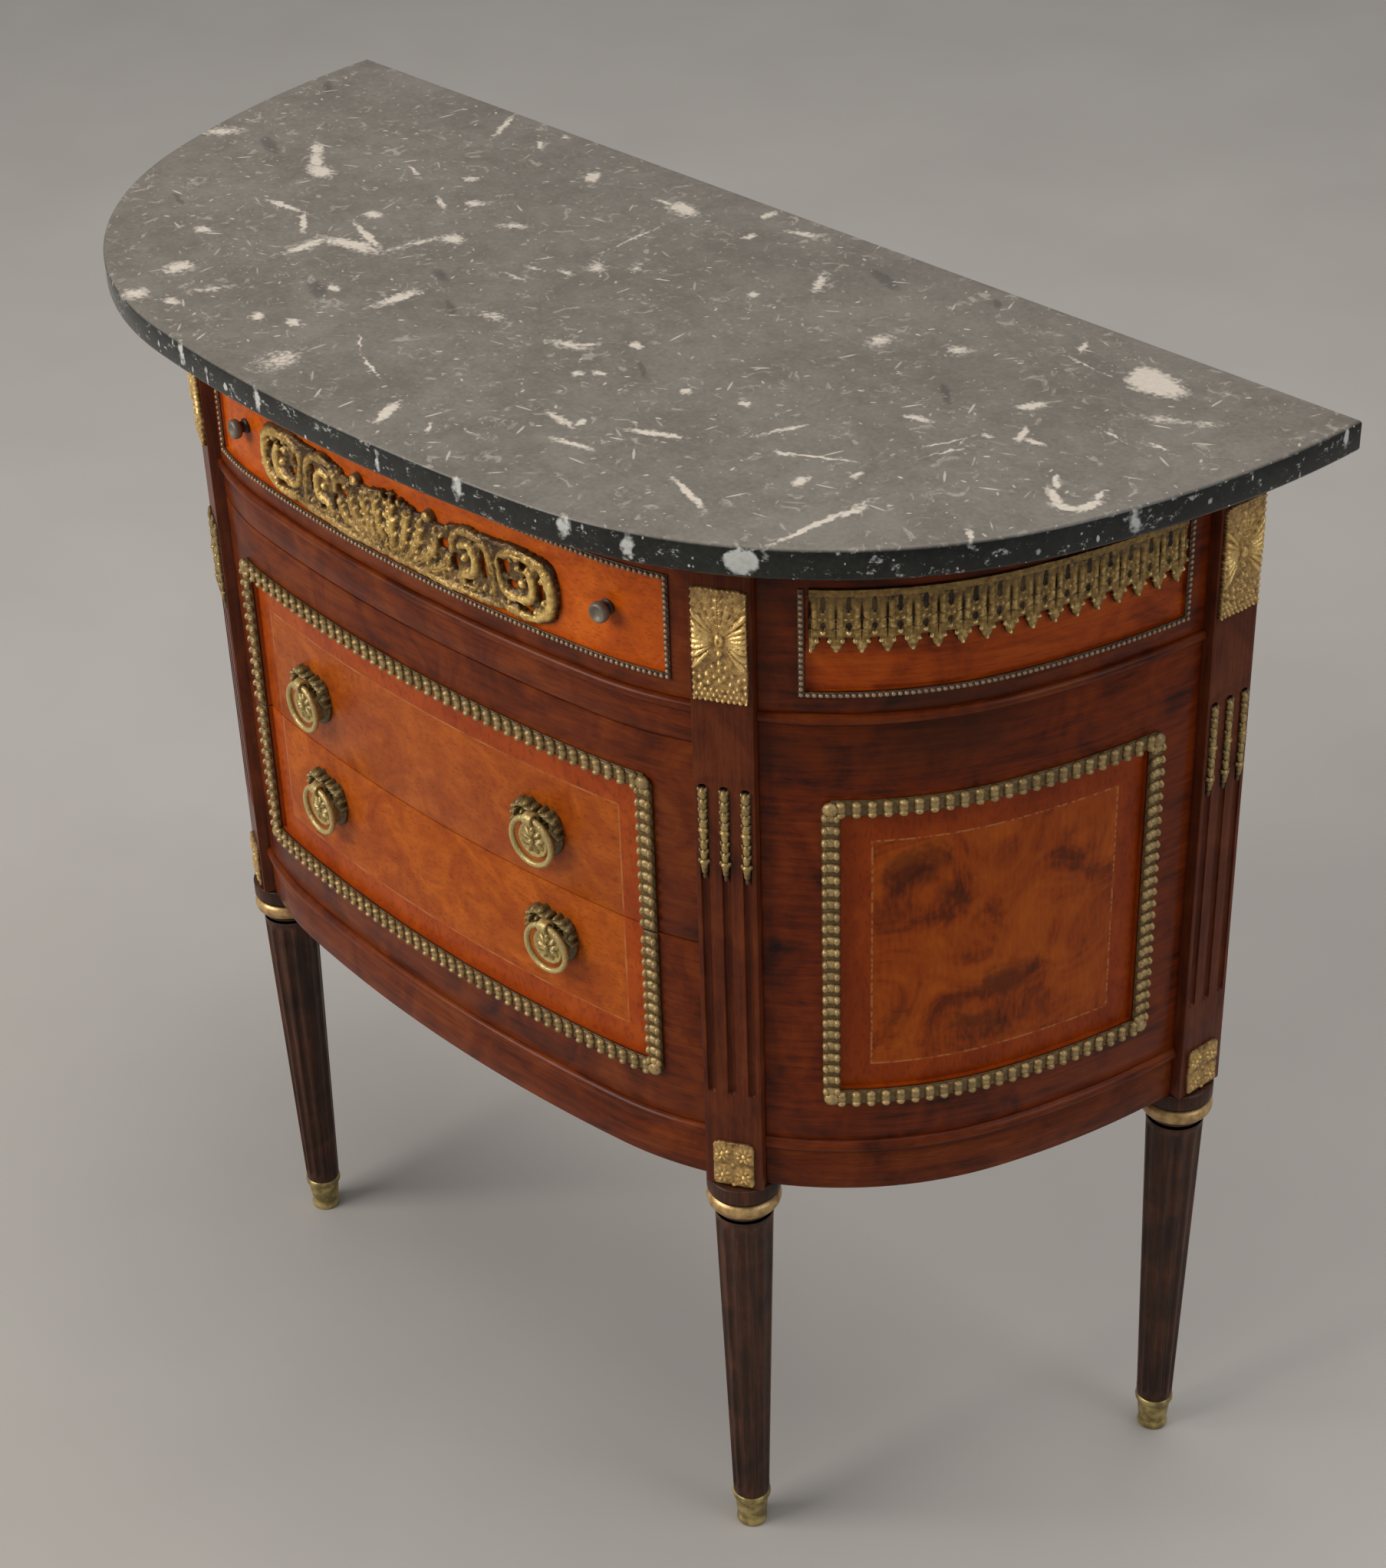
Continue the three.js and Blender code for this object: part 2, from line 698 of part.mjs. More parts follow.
// Cast plaque with a scalloped edge and a raised boss
function addPlaque(frame, name) {
  const middle = stileTop - plaqueHeadMargin - plaqueHeight / 2;
  const corners = [];
  const edge = (from, to, out) => {
    const length = from.distanceTo(to);
    const count = 2 * Math.round(length / plaqueScallopPitch);
    for (let step = 0; step < count; step += 1) {
      const point = from.clone().lerp(to, step / count);
      corners.push(point.addScaledVector(out, step % 2 === 1 ? 0 : -plaqueScallop));
    }
  };
  const x = plaqueWidth / 2;
  const z = plaqueHeight / 2;
  edge(new THREE.Vector2(-x, -z), new THREE.Vector2(x, -z), new THREE.Vector2(0, -1));
  edge(new THREE.Vector2(x, -z), new THREE.Vector2(x, z), new THREE.Vector2(1, 0));
  edge(new THREE.Vector2(x, z), new THREE.Vector2(-x, z), new THREE.Vector2(0, 1));
  edge(new THREE.Vector2(-x, z), new THREE.Vector2(-x, -z), new THREE.Vector2(-1, 0));
  const outline = new THREE.Shape(corners);
  const plate = new THREE.ExtrudeGeometry(outline, { depth: plaqueThickness, bevelEnabled: false });
  plate.rotateX(Math.PI / 2);
  const boss = turnedOutwards([
    [0, 0],
    [plaqueBossWidth / 2, 0],
    [plaqueBossWidth / 2, plaqueThickness],
    [plaqueBossWidth / 4, plaqueThickness + plaqueBossDepth],
    [0, plaqueThickness + plaqueBossDepth],
  ]);
  boss.scale(1, 1, plaqueBossHeight / plaqueBossWidth);
  const plaque = join(plate, boss).translate([0, -stileDepth / 2 - fitGap, middle]);
  addPiece(frame, `stile_plaque_${name}`, plaque, brass);
}

function addStations(parent) {
  for (const { name, turn } of stations) {
    const frame = frameAt(turn, stileCentreInset, 0);
    addStile(frame, name);
    addLeg(frame, name);
    addCollar(frame, name);
    addSabot(frame, name);
    addPlaque(frame, name);
    parent.add(frame);
  }
}

function addBoards(parent) {
  const top = board(stileFaceInset, backY, carcaseTopBottom, carcaseTopTop, 0);
  addPiece(parent, 'carcase_top', top, softwood);
  const nosed = (bottom, thickness) => {
    const shape = board(nosingInset, boardBack, bottom, bottom + thickness, thickness / 2);
    return betweenStiles(solid(shape), fitGap);
  };
  addPiece(parent, 'dust_board', nosed(dustBoardBottom, dustBoardThickness), mahogany);
  addPiece(parent, 'bottom_board', nosed(bottomBoardBottom, bottomBoardThickness), mahogany);
  const reach = stileCorner(backStileTurn, 1).x;
  const back = block(-reach, reach, backPanelFront, backPanelBack, legHeight, stileTop);
  addPiece(parent, 'back_panel', betweenStiles(solid(back), fitGap), softwood);
}

function addFrontRails(parent) {
  const rail = (bottom, top) => {
    const shape = curvedBlock(-frontStileTurn, frontStileTurn, wallInset, wallInset + railDepth, bottom, top);
    return betweenStiles(solid(shape), fitGap);
  };
  addPiece(parent, 'front_rail', rail(railBottom, dustBoardBottom - fitGap), mahogany);
  addPiece(parent, 'front_apron', rail(legHeight, bottomBoardBottom - fitGap), mahogany);
}

// Frieze, panel and apron of one side, with the brass on them
function addSide(parent, { name, sign }) {
  const ordered = (a, b) => (sign > 0 ? [a, b] : [-b, -a]);
  const [fromTurn, toTurn] = ordered(frontStileTurn, backStileTurn);
  const [friezeFrom, friezeTo] = ordered(sideFriezeStartRun, sideFriezeEndRun);
  const [mouldFrom, mouldTo] = ordered(sideMouldingStartRun, sideMouldingEndRun);
  const frieze = framedPanel(fromTurn, toTurn, dustBoardTop + fitGap, stileTop, {
    fromRun: friezeFrom,
    toRun: friezeTo,
    bottom: friezeFieldBottom,
    top: friezeFieldTop,
    recess: friezeFieldRecess,
  }, fitGap);
  addPiece(parent, `side_frieze_${name}`, frieze, satinwood);
  const panel = framedPanel(fromTurn, toTurn, bottomBoardTop + fitGap, dustBoardBottom - fitGap, {
    fromRun: mouldFrom + mouldingWidth,
    toRun: mouldTo - mouldingWidth,
    bottom: mouldingBottom + mouldingWidth,
    top: mouldingTop - mouldingWidth,
    recess: fieldRecess,
  }, fitGap);
  addPiece(parent, `side_panel_${name}`, panel, burrWalnut);
  const apronTop = bottomBoardBottom - fitGap;
  const apron = curvedBlock(fromTurn, toTurn, wallInset, wallBack, legHeight, apronTop);
  addPiece(parent, `side_apron_${name}`, betweenStiles(solid(apron), fitGap), mahogany);
  const moulding = join(
    horizontalBar(mouldFrom, mouldTo, mouldingBottom),
    horizontalBar(mouldFrom, mouldTo, mouldingTop - mouldingWidth),
    verticalBar(mouldFrom, mouldingBottom, mouldingTop),
    verticalBar(mouldTo - mouldingWidth, mouldingBottom, mouldingTop),
  );
  addPiece(parent, `side_moulding_${name}`, moulding, brass);
  addPiece(parent, `side_lambrequin_${name}`, lambrequin(sign), brass);
}

// Band with a row of pointed pendants along its lower edge, cut through the first pendant at its front end
function lambrequin(sign) {
  const from = sideFriezeStartRun + lambrequinMargin;
  const to = sideFriezeEndRun - lambrequinMargin;
  const halfCount = 2 * Math.round((to - from) / pendantPitch - 1 / 2) + 1;
  const halfPitch = (to - from) / halfCount;
  const top = friezeFieldTop + lambrequinLap;
  const valley = top - lambrequinBand;
  const stops = [];
  const edge = [];
  for (let half = 0; half < halfCount; half += 1) {
    const falling = half % 2 === 1;
    const shoulderShare = falling ? 1 - 2 * pendantShoulderShare : 2 * pendantShoulderShare;
    stops.push(from + half * halfPitch, from + (half + shoulderShare) * halfPitch);
    edge.push(falling ? valley : valley - pendantTipDrop, valley - pendantShoulderDrop);
  }
  stops.push(to);
  edge.push(valley);
  const turns = stops.map((run) => turnAtRun(sign * run));
  const seat = wallInset - fitGap;
  const outer = seat - lambrequinThickness;
  return alongWall(turns, (stop) => rectangle(outer, seat, edge[stop], top));
}

// Inner wall with the runner that carries the upper drawer
function addPartition(parent, { name, sign }) {
  const corner = stileCorner(frontStileTurn, -1);
  const spans = (near, far) => (sign > 0 ? [near, far] : [-far, -near]);
  const [wallFrom, wallTo] = spans(corner.x, corner.x + partitionThickness);
  const [runnerFrom, runnerTo] = spans(corner.x - runnerWidth, corner.x + partitionThickness / 2);
  const bottom = bottomBoardTop + fitGap;
  const top = dustBoardBottom - fitGap;
  const partition = join(
    block(wallFrom, wallTo, corner.y, boardBack, bottom, top),
    block(runnerFrom, runnerTo, corner.y + runnerSetback, boardBack, runnerTop - runnerHeight, runnerTop),
  );
  addPiece(parent, `partition_${name}`, betweenStiles(partition, fitGap), softwood);
}

// Open box of a drawer, its front end cut to the bow of the drawer front
function drawerBox(bottom, top) {
  const halfWidth = stileCorner(frontStileTurn, -1).x - drawerSideClearance;
  const front = -totalDepth / 2;
  const back = boardBack - drawerBackClearance;
  const outer = solid(block(-halfWidth, halfWidth, front, back, bottom, top));
  const inner = solid(block(
    -halfWidth + drawerSideThickness,
    halfWidth - drawerSideThickness,
    front,
    back - drawerSideThickness,
    bottom + drawerBottomThickness,
    top + cutOverrun,
  ));
  const behindFront = solid(board(wallBack + fitGap, boardBack, bottom, top, 0));
  return outer.subtract(inner).intersect(behindFront);
}

function drawerFront(bottom, top, field) {
  return framedPanel(-frontStileTurn, frontStileTurn, bottom, top, field, drawerGap);
}

// Cast plate cut to a crested outline and pierced by oval holes
function piercedMount() {
  const seat = wallInset + friezeFieldRecess - fitGap;
  const plate = solid(curvedBlock(
    turnAtRun(mountShift - mountHalfRun - cutOverrun),
    turnAtRun(mountShift + mountHalfRun + cutOverrun),
    seat - mountThickness,
    seat,
    mountBottom - cutOverrun,
    mountTop + cutOverrun,
  ));
  const centre = planPoint(turnAtRun(mountShift), seat).x;
  const throughFront = (corners) => {
    const shape = new THREE.Shape(corners.map(([x, z]) => new THREE.Vector2(centre + x, z)));
    const geometry = new THREE.ExtrudeGeometry(shape, { depth: totalDepth, bevelEnabled: false });
    return solid(geometry.rotateX(Math.PI / 2));
  };
  const height = mountTop - mountBottom;
  const half = mountOutlineShares.map(([along, up]) => [along * mountHalfRun, mountBottom + up * height]);
  const mirrored = half.map(([x, z]) => [-x, z]).reverse();
  let mount = plate.intersect(throughFront([...half, ...mirrored]));
  const middle = (mountBottom + mountTop) / 2;
  for (const share of mountHoleShares.flatMap((along) => [-along, along])) {
    const oval = [];
    for (let side = 0; side < mountHoleSides; side += 1) {
      const angle = (side / mountHoleSides) * 2 * Math.PI;
      const x = share * mountHalfRun + (Math.cos(angle) * mountHoleWidth) / 2;
      oval.push([x, middle + (Math.sin(angle) * mountHoleHeight) / 2]);
    }
    mount = mount.subtract(throughFront(oval));
  }
  return mount;
}

function addKnob(parent, { name, sign }) {
  const height = friezeFieldBottom + knobRise;
  const frame = frameAt(turnAtRun(sign * knobRun), wallInset + friezeFieldRecess, height);
  const head = fitGap + knobStemLength;
  const knob = turnedOutwards([
    [0, fitGap],
    [knobStemRadius, fitGap],
    [knobStemRadius, head],
    [knobHeadRadius, head],
    [knobHeadRadius, head + knobHeadLength - knobRound],
    [knobHeadRadius - knobRound, head + knobHeadLength],
    [0, head + knobHeadLength],
  ]);
  addPiece(frame, `frieze_drawer_knob_${name}`, knob, knobMetal);
  parent.add(frame);
}

// Round plate with a boss, a ribbon bow above it and a knuckle that the ring passes through
function pullPlate() {
  const disc = turnedOutwards([
    [0, 0],
    [plateRadius, 0],
    [plateRadius, plateThickness],
    [plateBossRadius, plateThickness],
    [plateBossRadius, plateThickness + plateBossDepth * plateBossRimShare],
    [plateBossRadius / 2, plateThickness + plateBossDepth],
    [0, plateThickness + plateBossDepth],
  ]);
  const corners = bowOutlineShares.map(([along, up]) => new THREE.Vector2(along * bowReach, up * bowRise));
  const outline = new THREE.Shape(corners);
  const bow = new THREE.ExtrudeGeometry(outline, { depth: bowThickness, bevelEnabled: false });
  bow.rotateX(Math.PI / 2).translate(0, -bowLift, 0);
  const lying = (radius, length) => {
    const rod = new THREE.CylinderGeometry(radius, radius, length, roundSides);
    return rod.rotateZ(Math.PI / 2).translate(0, -ringOut, ringRadius);
  };
  const bore = solid(lying(knuckleBoreRadius, knuckleLength + cutOverrun));
  const plate = join(disc, bow, lying(knuckleRadius, knuckleLength)).subtract(bore);
  return plate.translate([0, -fitGap, 0]);
}

function pullRing() {
  const ring = new THREE.TorusGeometry(ringRadius, ringTubeRadius, ringTubeSides, ringSegments);
  return ring.rotateX(Math.PI / 2).translate(0, -ringOut - fitGap, 0);
}

function addPulls(parent, drawerName, height, shift) {
  for (const { name, sign } of sides) {
    const frame = frameAt(turnAtRun(sign * pullRun + shift), wallInset + fieldRecess, height);
    addPiece(frame, `${drawerName}_pull_plate_${name}`, pullPlate(), brass);
    addPiece(frame, `${drawerName}_pull_ring_${name}`, pullRing(), brass);
    parent.add(frame);
  }
}

function addFriezeDrawer(parent) {
  const drawer = new THREE.Group();
  const front = drawerFront(dustBoardTop + drawerGap, stileTop - drawerGap, {
    fromRun: -frontFriezeHalfRun,
    toRun: frontFriezeHalfRun,
    bottom: friezeFieldBottom,
    top: friezeFieldTop,
    recess: friezeFieldRecess,
  });
  addPiece(drawer, 'frieze_drawer_front', front, satinwood);
  const box = drawerBox(dustBoardTop + fitGap, stileTop - drawerHeadroom);
  addPiece(drawer, 'frieze_drawer_box', box, softwood);
  addPiece(drawer, 'frieze_drawer_mount', piercedMount(), brass);
  for (const side of sides) addKnob(drawer, side);
  parent.add(drawer);
}

// The two lower drawers share one framed field, which the split between them cuts in two
function addLowerDrawers(parent) {
  const fieldHalfRun = frontMouldingHalfRun - mouldingWidth;
  const fieldBottom = mouldingBottom + mouldingWidth;
  const fieldTop = mouldingTop - mouldingWidth;
  const drawers = [
    {
      name: 'upper_drawer',
      bottom: drawerSplit + drawerGap / 2,
      top: railBottom - drawerGap,
      boxBottom: runnerTop + fitGap,
      boxTop: railBottom - drawerHeadroom,
      fieldFrom: drawerSplit - cutOverrun,
      fieldTo: fieldTop,
      barBottom: fieldTop,
      mouldingFrom: drawerSplit + drawerGap / 2,
      mouldingTo: mouldingTop,
      pullHeight: drawerSplit + upperPullRise,
      pullShift: upperPullShift,
    },
    {
      name: 'lower_drawer',
      bottom: bottomBoardTop + drawerGap,
      top: drawerSplit - drawerGap / 2,
      boxBottom: bottomBoardTop + fitGap,
      boxTop: drawerSplit - drawerHeadroom,
      fieldFrom: fieldBottom,
      fieldTo: drawerSplit + cutOverrun,
      barBottom: mouldingBottom,
      mouldingFrom: mouldingBottom,
      mouldingTo: drawerSplit - drawerGap / 2,
      pullHeight: drawerSplit - lowerPullDrop,
      pullShift: lowerPullShift,
    },
  ];
  for (const sizes of drawers) {
    const drawer = new THREE.Group();
    const front = drawerFront(sizes.bottom, sizes.top, {
      fromRun: -fieldHalfRun,
      toRun: fieldHalfRun,
      bottom: sizes.fieldFrom,
      top: sizes.fieldTo,
      recess: fieldRecess,
    });
    addPiece(drawer, `${sizes.name}_front`, front, satinwood);
    addPiece(drawer, `${sizes.name}_box`, drawerBox(sizes.boxBottom, sizes.boxTop), softwood);
    const moulding = join(
      horizontalBar(-frontMouldingHalfRun, frontMouldingHalfRun, sizes.barBottom),
      verticalBar(-frontMouldingHalfRun, sizes.mouldingFrom, sizes.mouldingTo),
      verticalBar(frontMouldingHalfRun - mouldingWidth, sizes.mouldingFrom, sizes.mouldingTo),
    );
    addPiece(drawer, `${sizes.name}_moulding`, moulding, brass);
    addPulls(drawer, sizes.name, sizes.pullHeight, sizes.pullShift);
    parent.add(drawer);
  }
}

const commode = new THREE.Group();
addMarbleTop(commode);
addBoards(commode);
addStations(commode);
addFrontRails(commode);
for (const side of sides) {
  addSide(commode, side);
  addPartition(commode, side);
}
addFriezeDrawer(commode);
addLowerDrawers(commode);

export default commode;
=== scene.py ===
import math

import bmesh
import bpy
from mathutils import Matrix, Vector, noise


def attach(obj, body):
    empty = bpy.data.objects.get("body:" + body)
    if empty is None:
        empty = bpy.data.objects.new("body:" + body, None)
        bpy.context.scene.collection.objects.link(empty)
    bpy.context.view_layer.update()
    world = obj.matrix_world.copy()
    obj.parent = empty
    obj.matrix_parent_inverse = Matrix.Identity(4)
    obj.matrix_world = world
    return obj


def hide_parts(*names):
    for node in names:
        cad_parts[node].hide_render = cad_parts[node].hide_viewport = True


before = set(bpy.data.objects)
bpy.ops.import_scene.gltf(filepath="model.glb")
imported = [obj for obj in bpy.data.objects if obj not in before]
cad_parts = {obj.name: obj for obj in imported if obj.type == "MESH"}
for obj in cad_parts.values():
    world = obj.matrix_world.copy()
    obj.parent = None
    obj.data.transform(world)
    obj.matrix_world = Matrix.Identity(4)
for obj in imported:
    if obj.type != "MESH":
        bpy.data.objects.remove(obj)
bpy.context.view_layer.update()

# Shapes are made in millimetres and laid flat: x along the wall from the front centre, y into the wall,
# z up from the floor. Laying a piece on its seat bends or turns it into place and brings it to metres.
METRE = 0.001
# Radius and turn of the three arcs of the marble's edge, from the front centre to the back.
ARCS = [(1345, math.radians(7.8)), (315, math.radians(60.8)), (637, math.radians(20.3))]
# How far the fronts and panels, and the stiles, stand back from that edge.
WALL, STILE_FACE = 59, 51
STILE_WIDTH, STILE_DEPTH = 40, 40
# Turn of the outward normal at each stile.
STATIONS = {
    "front_left": math.radians(-28),
    "front_right": math.radians(28),
    "back_left": math.radians(-85.014),
    "back_right": math.radians(85.014),
}
SIDES = {"left": -1, "right": 1}
FRONT_RUN, SIDE_START, SIDE_END = 245.3, 285.3, 592.3
# How far a curved piece is drawn past its stile before it is cut off, and the gaps left there.
LAP, SEAM, CLEARANCE = 4, 0.3, 1

STILE_FOOT, STILE_TOP = 337, 814.7
APRON_TOP, BOARD_TOP = 369.3, 378.7
SPLIT = 530
RAIL_FOOT, DUST_FOOT, DUST_TOP = 684, 706.3, 713.7
MARBLE_FOOT, MARBLE_TOP = 839, 860
RAIL_DEPTH, FRONT_DEPTH = 22, 18
MARBLE_EASE = 2.5

# Sunk fields: heights, ends along the wall and depths.
FIELD, FRIEZE_FIELD = (423, 640), (730.5, 796)
FRONT_FIELD_RUN, FRONT_FRIEZE_RUN = 201.5, 226
SIDE_FIELD_RUN, SIDE_FRIEZE_RUN = (336, 550), (315, 574)
FIELD_DEPTH, FRIEZE_DEPTH = 3, 2
# How finely what bends round the body is divided.
BEND_PITCH = 9


def plan_point(turn, inset):
    """Point of the plan where the outward normal has turned from the front, inside the marble's edge."""
    reach, start = abs(turn), 0
    x = 0
    y = inset - sum_of_depths() / 2
    for radius, arc in ARCS:
        end = reach if (radius, arc) == ARCS[-1] else min(reach, start + arc)
        x += (radius - inset) * (math.sin(end) - math.sin(start))
        y += (radius - inset) * (math.cos(start) - math.cos(end))
        start += arc
        if reach <= start:
            break
    return Vector((math.copysign(x, turn), y, 0))


def sum_of_depths():
    """Depth of the plan from front to back."""
    start = depth = 0
    for radius, arc in ARCS:
        depth += radius * (math.cos(start) - math.cos(start + arc))
        start += arc
    return depth


def turn_at(run):
    """Turn of the outward normal at a run along the fronts and panels."""
    left, start = abs(run), 0
    for radius, arc in ARCS:
        turn = left / (radius - WALL)
        if turn <= arc or (radius, arc) == ARCS[-1]:
            return math.copysign(start + turn, run)
        left -= arc * (radius - WALL)
        start += arc


def seat(turn, inset, height=0):
    """Rigid place on the plan: its x runs along the curve and its y into the body."""
    place = plan_point(turn, inset)
    place.z = height
    return Matrix.Translation(place) @ Matrix.Rotation(turn, 4, "Z")


def onto_wall(co):
    place = plan_point(turn_at(co.x), WALL + co.y)
    place.z = co.z
    return place


def onto_seat(matrix):
    return lambda co: matrix @ co


# Making shapes


def whole(shape):
    return shape.verts[:] + shape.edges[:] + shape.faces[:]


def of_kind(items, kind):
    return [item for item in items if isinstance(item, kind)]


def moved(shape, x=0.0, y=0.0, z=0.0):
    bmesh.ops.translate(shape, vec=(x, y, z), verts=shape.verts)
    return shape


def turned(shape, angle, axis):
    bmesh.ops.rotate(shape, cent=(0, 0, 0), matrix=Matrix.Rotation(angle, 3, axis), verts=shape.verts)
    return shape


def scaled(shape, x, y, z):
    bmesh.ops.scale(shape, vec=(x, y, z), verts=shape.verts)
    return shape


def flipped(shape):
    """The shape seen in a mirror that stands at x = 0."""
    copy = scaled(shape.copy(), -1, 1, 1)
    bmesh.ops.reverse_faces(copy, faces=copy.faces)
    return copy


def handed(shape, part):
    """A shape made for the right side, turned over when it is wanted for the left."""
    return flipped(shape) if part == "left" else shape


def block(x, y, z, ease=0.0):
    shape = bmesh.new()
    bmesh.ops.create_cube(shape, size=1)
    spans = (x, y, z)
    scaled(shape, *(high - low for low, high in spans))
    moved(shape, *((low + high) / 2 for low, high in spans))
    if ease:
        round_edges(shape, shape.edges[:], ease)
    return shape


def round_edges(shape, edges, offset, segments=2):
    bmesh.ops.bevel(
        shape, geom=edges, offset=offset, offset_type="OFFSET", segments=segments, profile=0.5,
        affect="EDGES", material=-1, clamp_overlap=True,
    )


def slice_at(shape, axis, places):
    normal = Vector([float(axis == name) for name in "xyz"])
    for place in places:
        bmesh.ops.bisect_plane(shape, geom=whole(shape), plane_co=normal * place, plane_no=normal)


def steps(start, end, pitch):
    count = max(1, round((end - start) / pitch))
    return [start + (end - start) * step / count for step in range(count + 1)]


def spun(shape, section, axle, sides):
    """The section turned once round its axle into a closed skin."""
    bmesh.ops.spin(
        shape, geom=section, cent=(0, 0, 0), axis=axle, angle=math.tau, steps=sides, use_merge=True,
    )
    bmesh.ops.remove_doubles(shape, verts=shape.verts, dist=0.001)
    bmesh.ops.recalc_face_normals(shape, faces=shape.faces)
    return shape


def lathe(profile, sides, axis="Y"):
    """Turned shape: pairs of radius and reach outwards (axis Y) or height (axis Z)."""
    shape = bmesh.new()
    lies_flat = axis == "Y"
    verts = [
        shape.verts.new((radius, -reach, 0) if lies_flat else (radius, 0, reach))
        for radius, reach in profile
    ]
    edges = [shape.edges.new(pair) for pair in zip(verts, verts[1:])]
    return spun(shape, verts + edges, (0, 1, 0) if lies_flat else (0, 0, 1), sides)


def sweep(rings, sides):
    """Capped tube: each ring turns an angle round the section into a place."""
    shape = bmesh.new()
    angle = shape.verts.layers.float.new("angle")
    made = bmesh.ops.create_circle(shape, cap_ends=True, segments=sides, radius=1)
    for vert in made["verts"]:
        vert[angle] = math.atan2(vert.co.y, vert.co.x)
    face = shape.faces[:][0]
    for vert in face.verts:
        vert.co = rings[0](vert[angle])
    for ring in rings[1:]:
        drawn = bmesh.ops.extrude_face_region(shape, geom=[face])
        face = of_kind(drawn["geom"], bmesh.types.BMFace)[0]
        for vert in face.verts:
            vert.co = ring(vert[angle])
    bmesh.ops.recalc_face_normals(shape, faces=shape.faces)
    return shape


def curve_through(points, count):
    """Smooth flat path through points of x, z, half width and height."""
    path = []
    last = len(points) - 1
    for step in range(count + 1):
        along = step / count * last
        index = min(int(along), last - 1)
        t = along - index
        a, b, c, d = (points[max(0, min(last, index + k))] for k in (-1, 0, 1, 2))
        path.append([
            0.5 * (
                2 * q + (r - p) * t + (2 * p - 5 * q + 4 * r - s) * t * t
                + (3 * q - p - 3 * r + s) * t ** 3
            )
            for p, q, r, s in zip(a, b, c, d)
        ])
    return path


def leaf(points, base, count, sides):
    """Domed, tapering band on the plane y = -base through points of x, z, half width and height."""
    path = curve_through(points, count)
    rings = []
    for index, (x, z, width, height) in enumerate(path):
        before, after = path[max(0, index - 1)], path[min(count, index + 1)]
        along = Vector((after[0] - before[0], 0, after[1] - before[1])).normalized()
        across = Vector((-along.z, 0, along.x))
        middle = Vector((x, -base, z))

        def ring(angle, middle=middle, across=across, width=width, height=height):
            lift = max(math.sin(angle), -0.15)
            return middle + across * (width * math.cos(angle)) + Vector((0, -height * lift, 0))

        rings.append(ring)
    return sweep(rings, sides)


def bead(x, z, size, base, tall=None, wide=None, tilt=0.0, sides=8, rows=5, rise=None):
    """Round or oval bead of half height tall and half width wide, sunk a little into y = -base."""
    shape = bmesh.new()
    bmesh.ops.create_uvsphere(shape, u_segments=sides, v_segments=rows, radius=1)
    reach = rise or size
    scaled(turned(shape, math.pi / 2, "X"), wide or size, reach, tall or size)
    return moved(turned(shape, tilt, "Y"), x, -base - reach * 0.55, z)


def row(shape, steps_after, dx=0.0, dz=0.0):
    """Repeats the shape in a line."""
    if steps_after:
        bmesh.ops.spin(
            shape, geom=whole(shape), cent=(0, 0, 0), axis=(0, 0, 1), dvec=(dx, 0, dz), angle=0,
            steps=steps_after, use_duplicate=True,
        )
    return shape


def assemble(*shapes):
    """One shape from several."""
    joined = bmesh.new()
    carrier = bpy.data.meshes.new("carrier")
    for shape in shapes:
        shape.to_mesh(carrier)
        joined.from_mesh(carrier)
        shape.free()
    bpy.data.meshes.remove(carrier)
    return joined


CAST_THICKNESS = 0.4


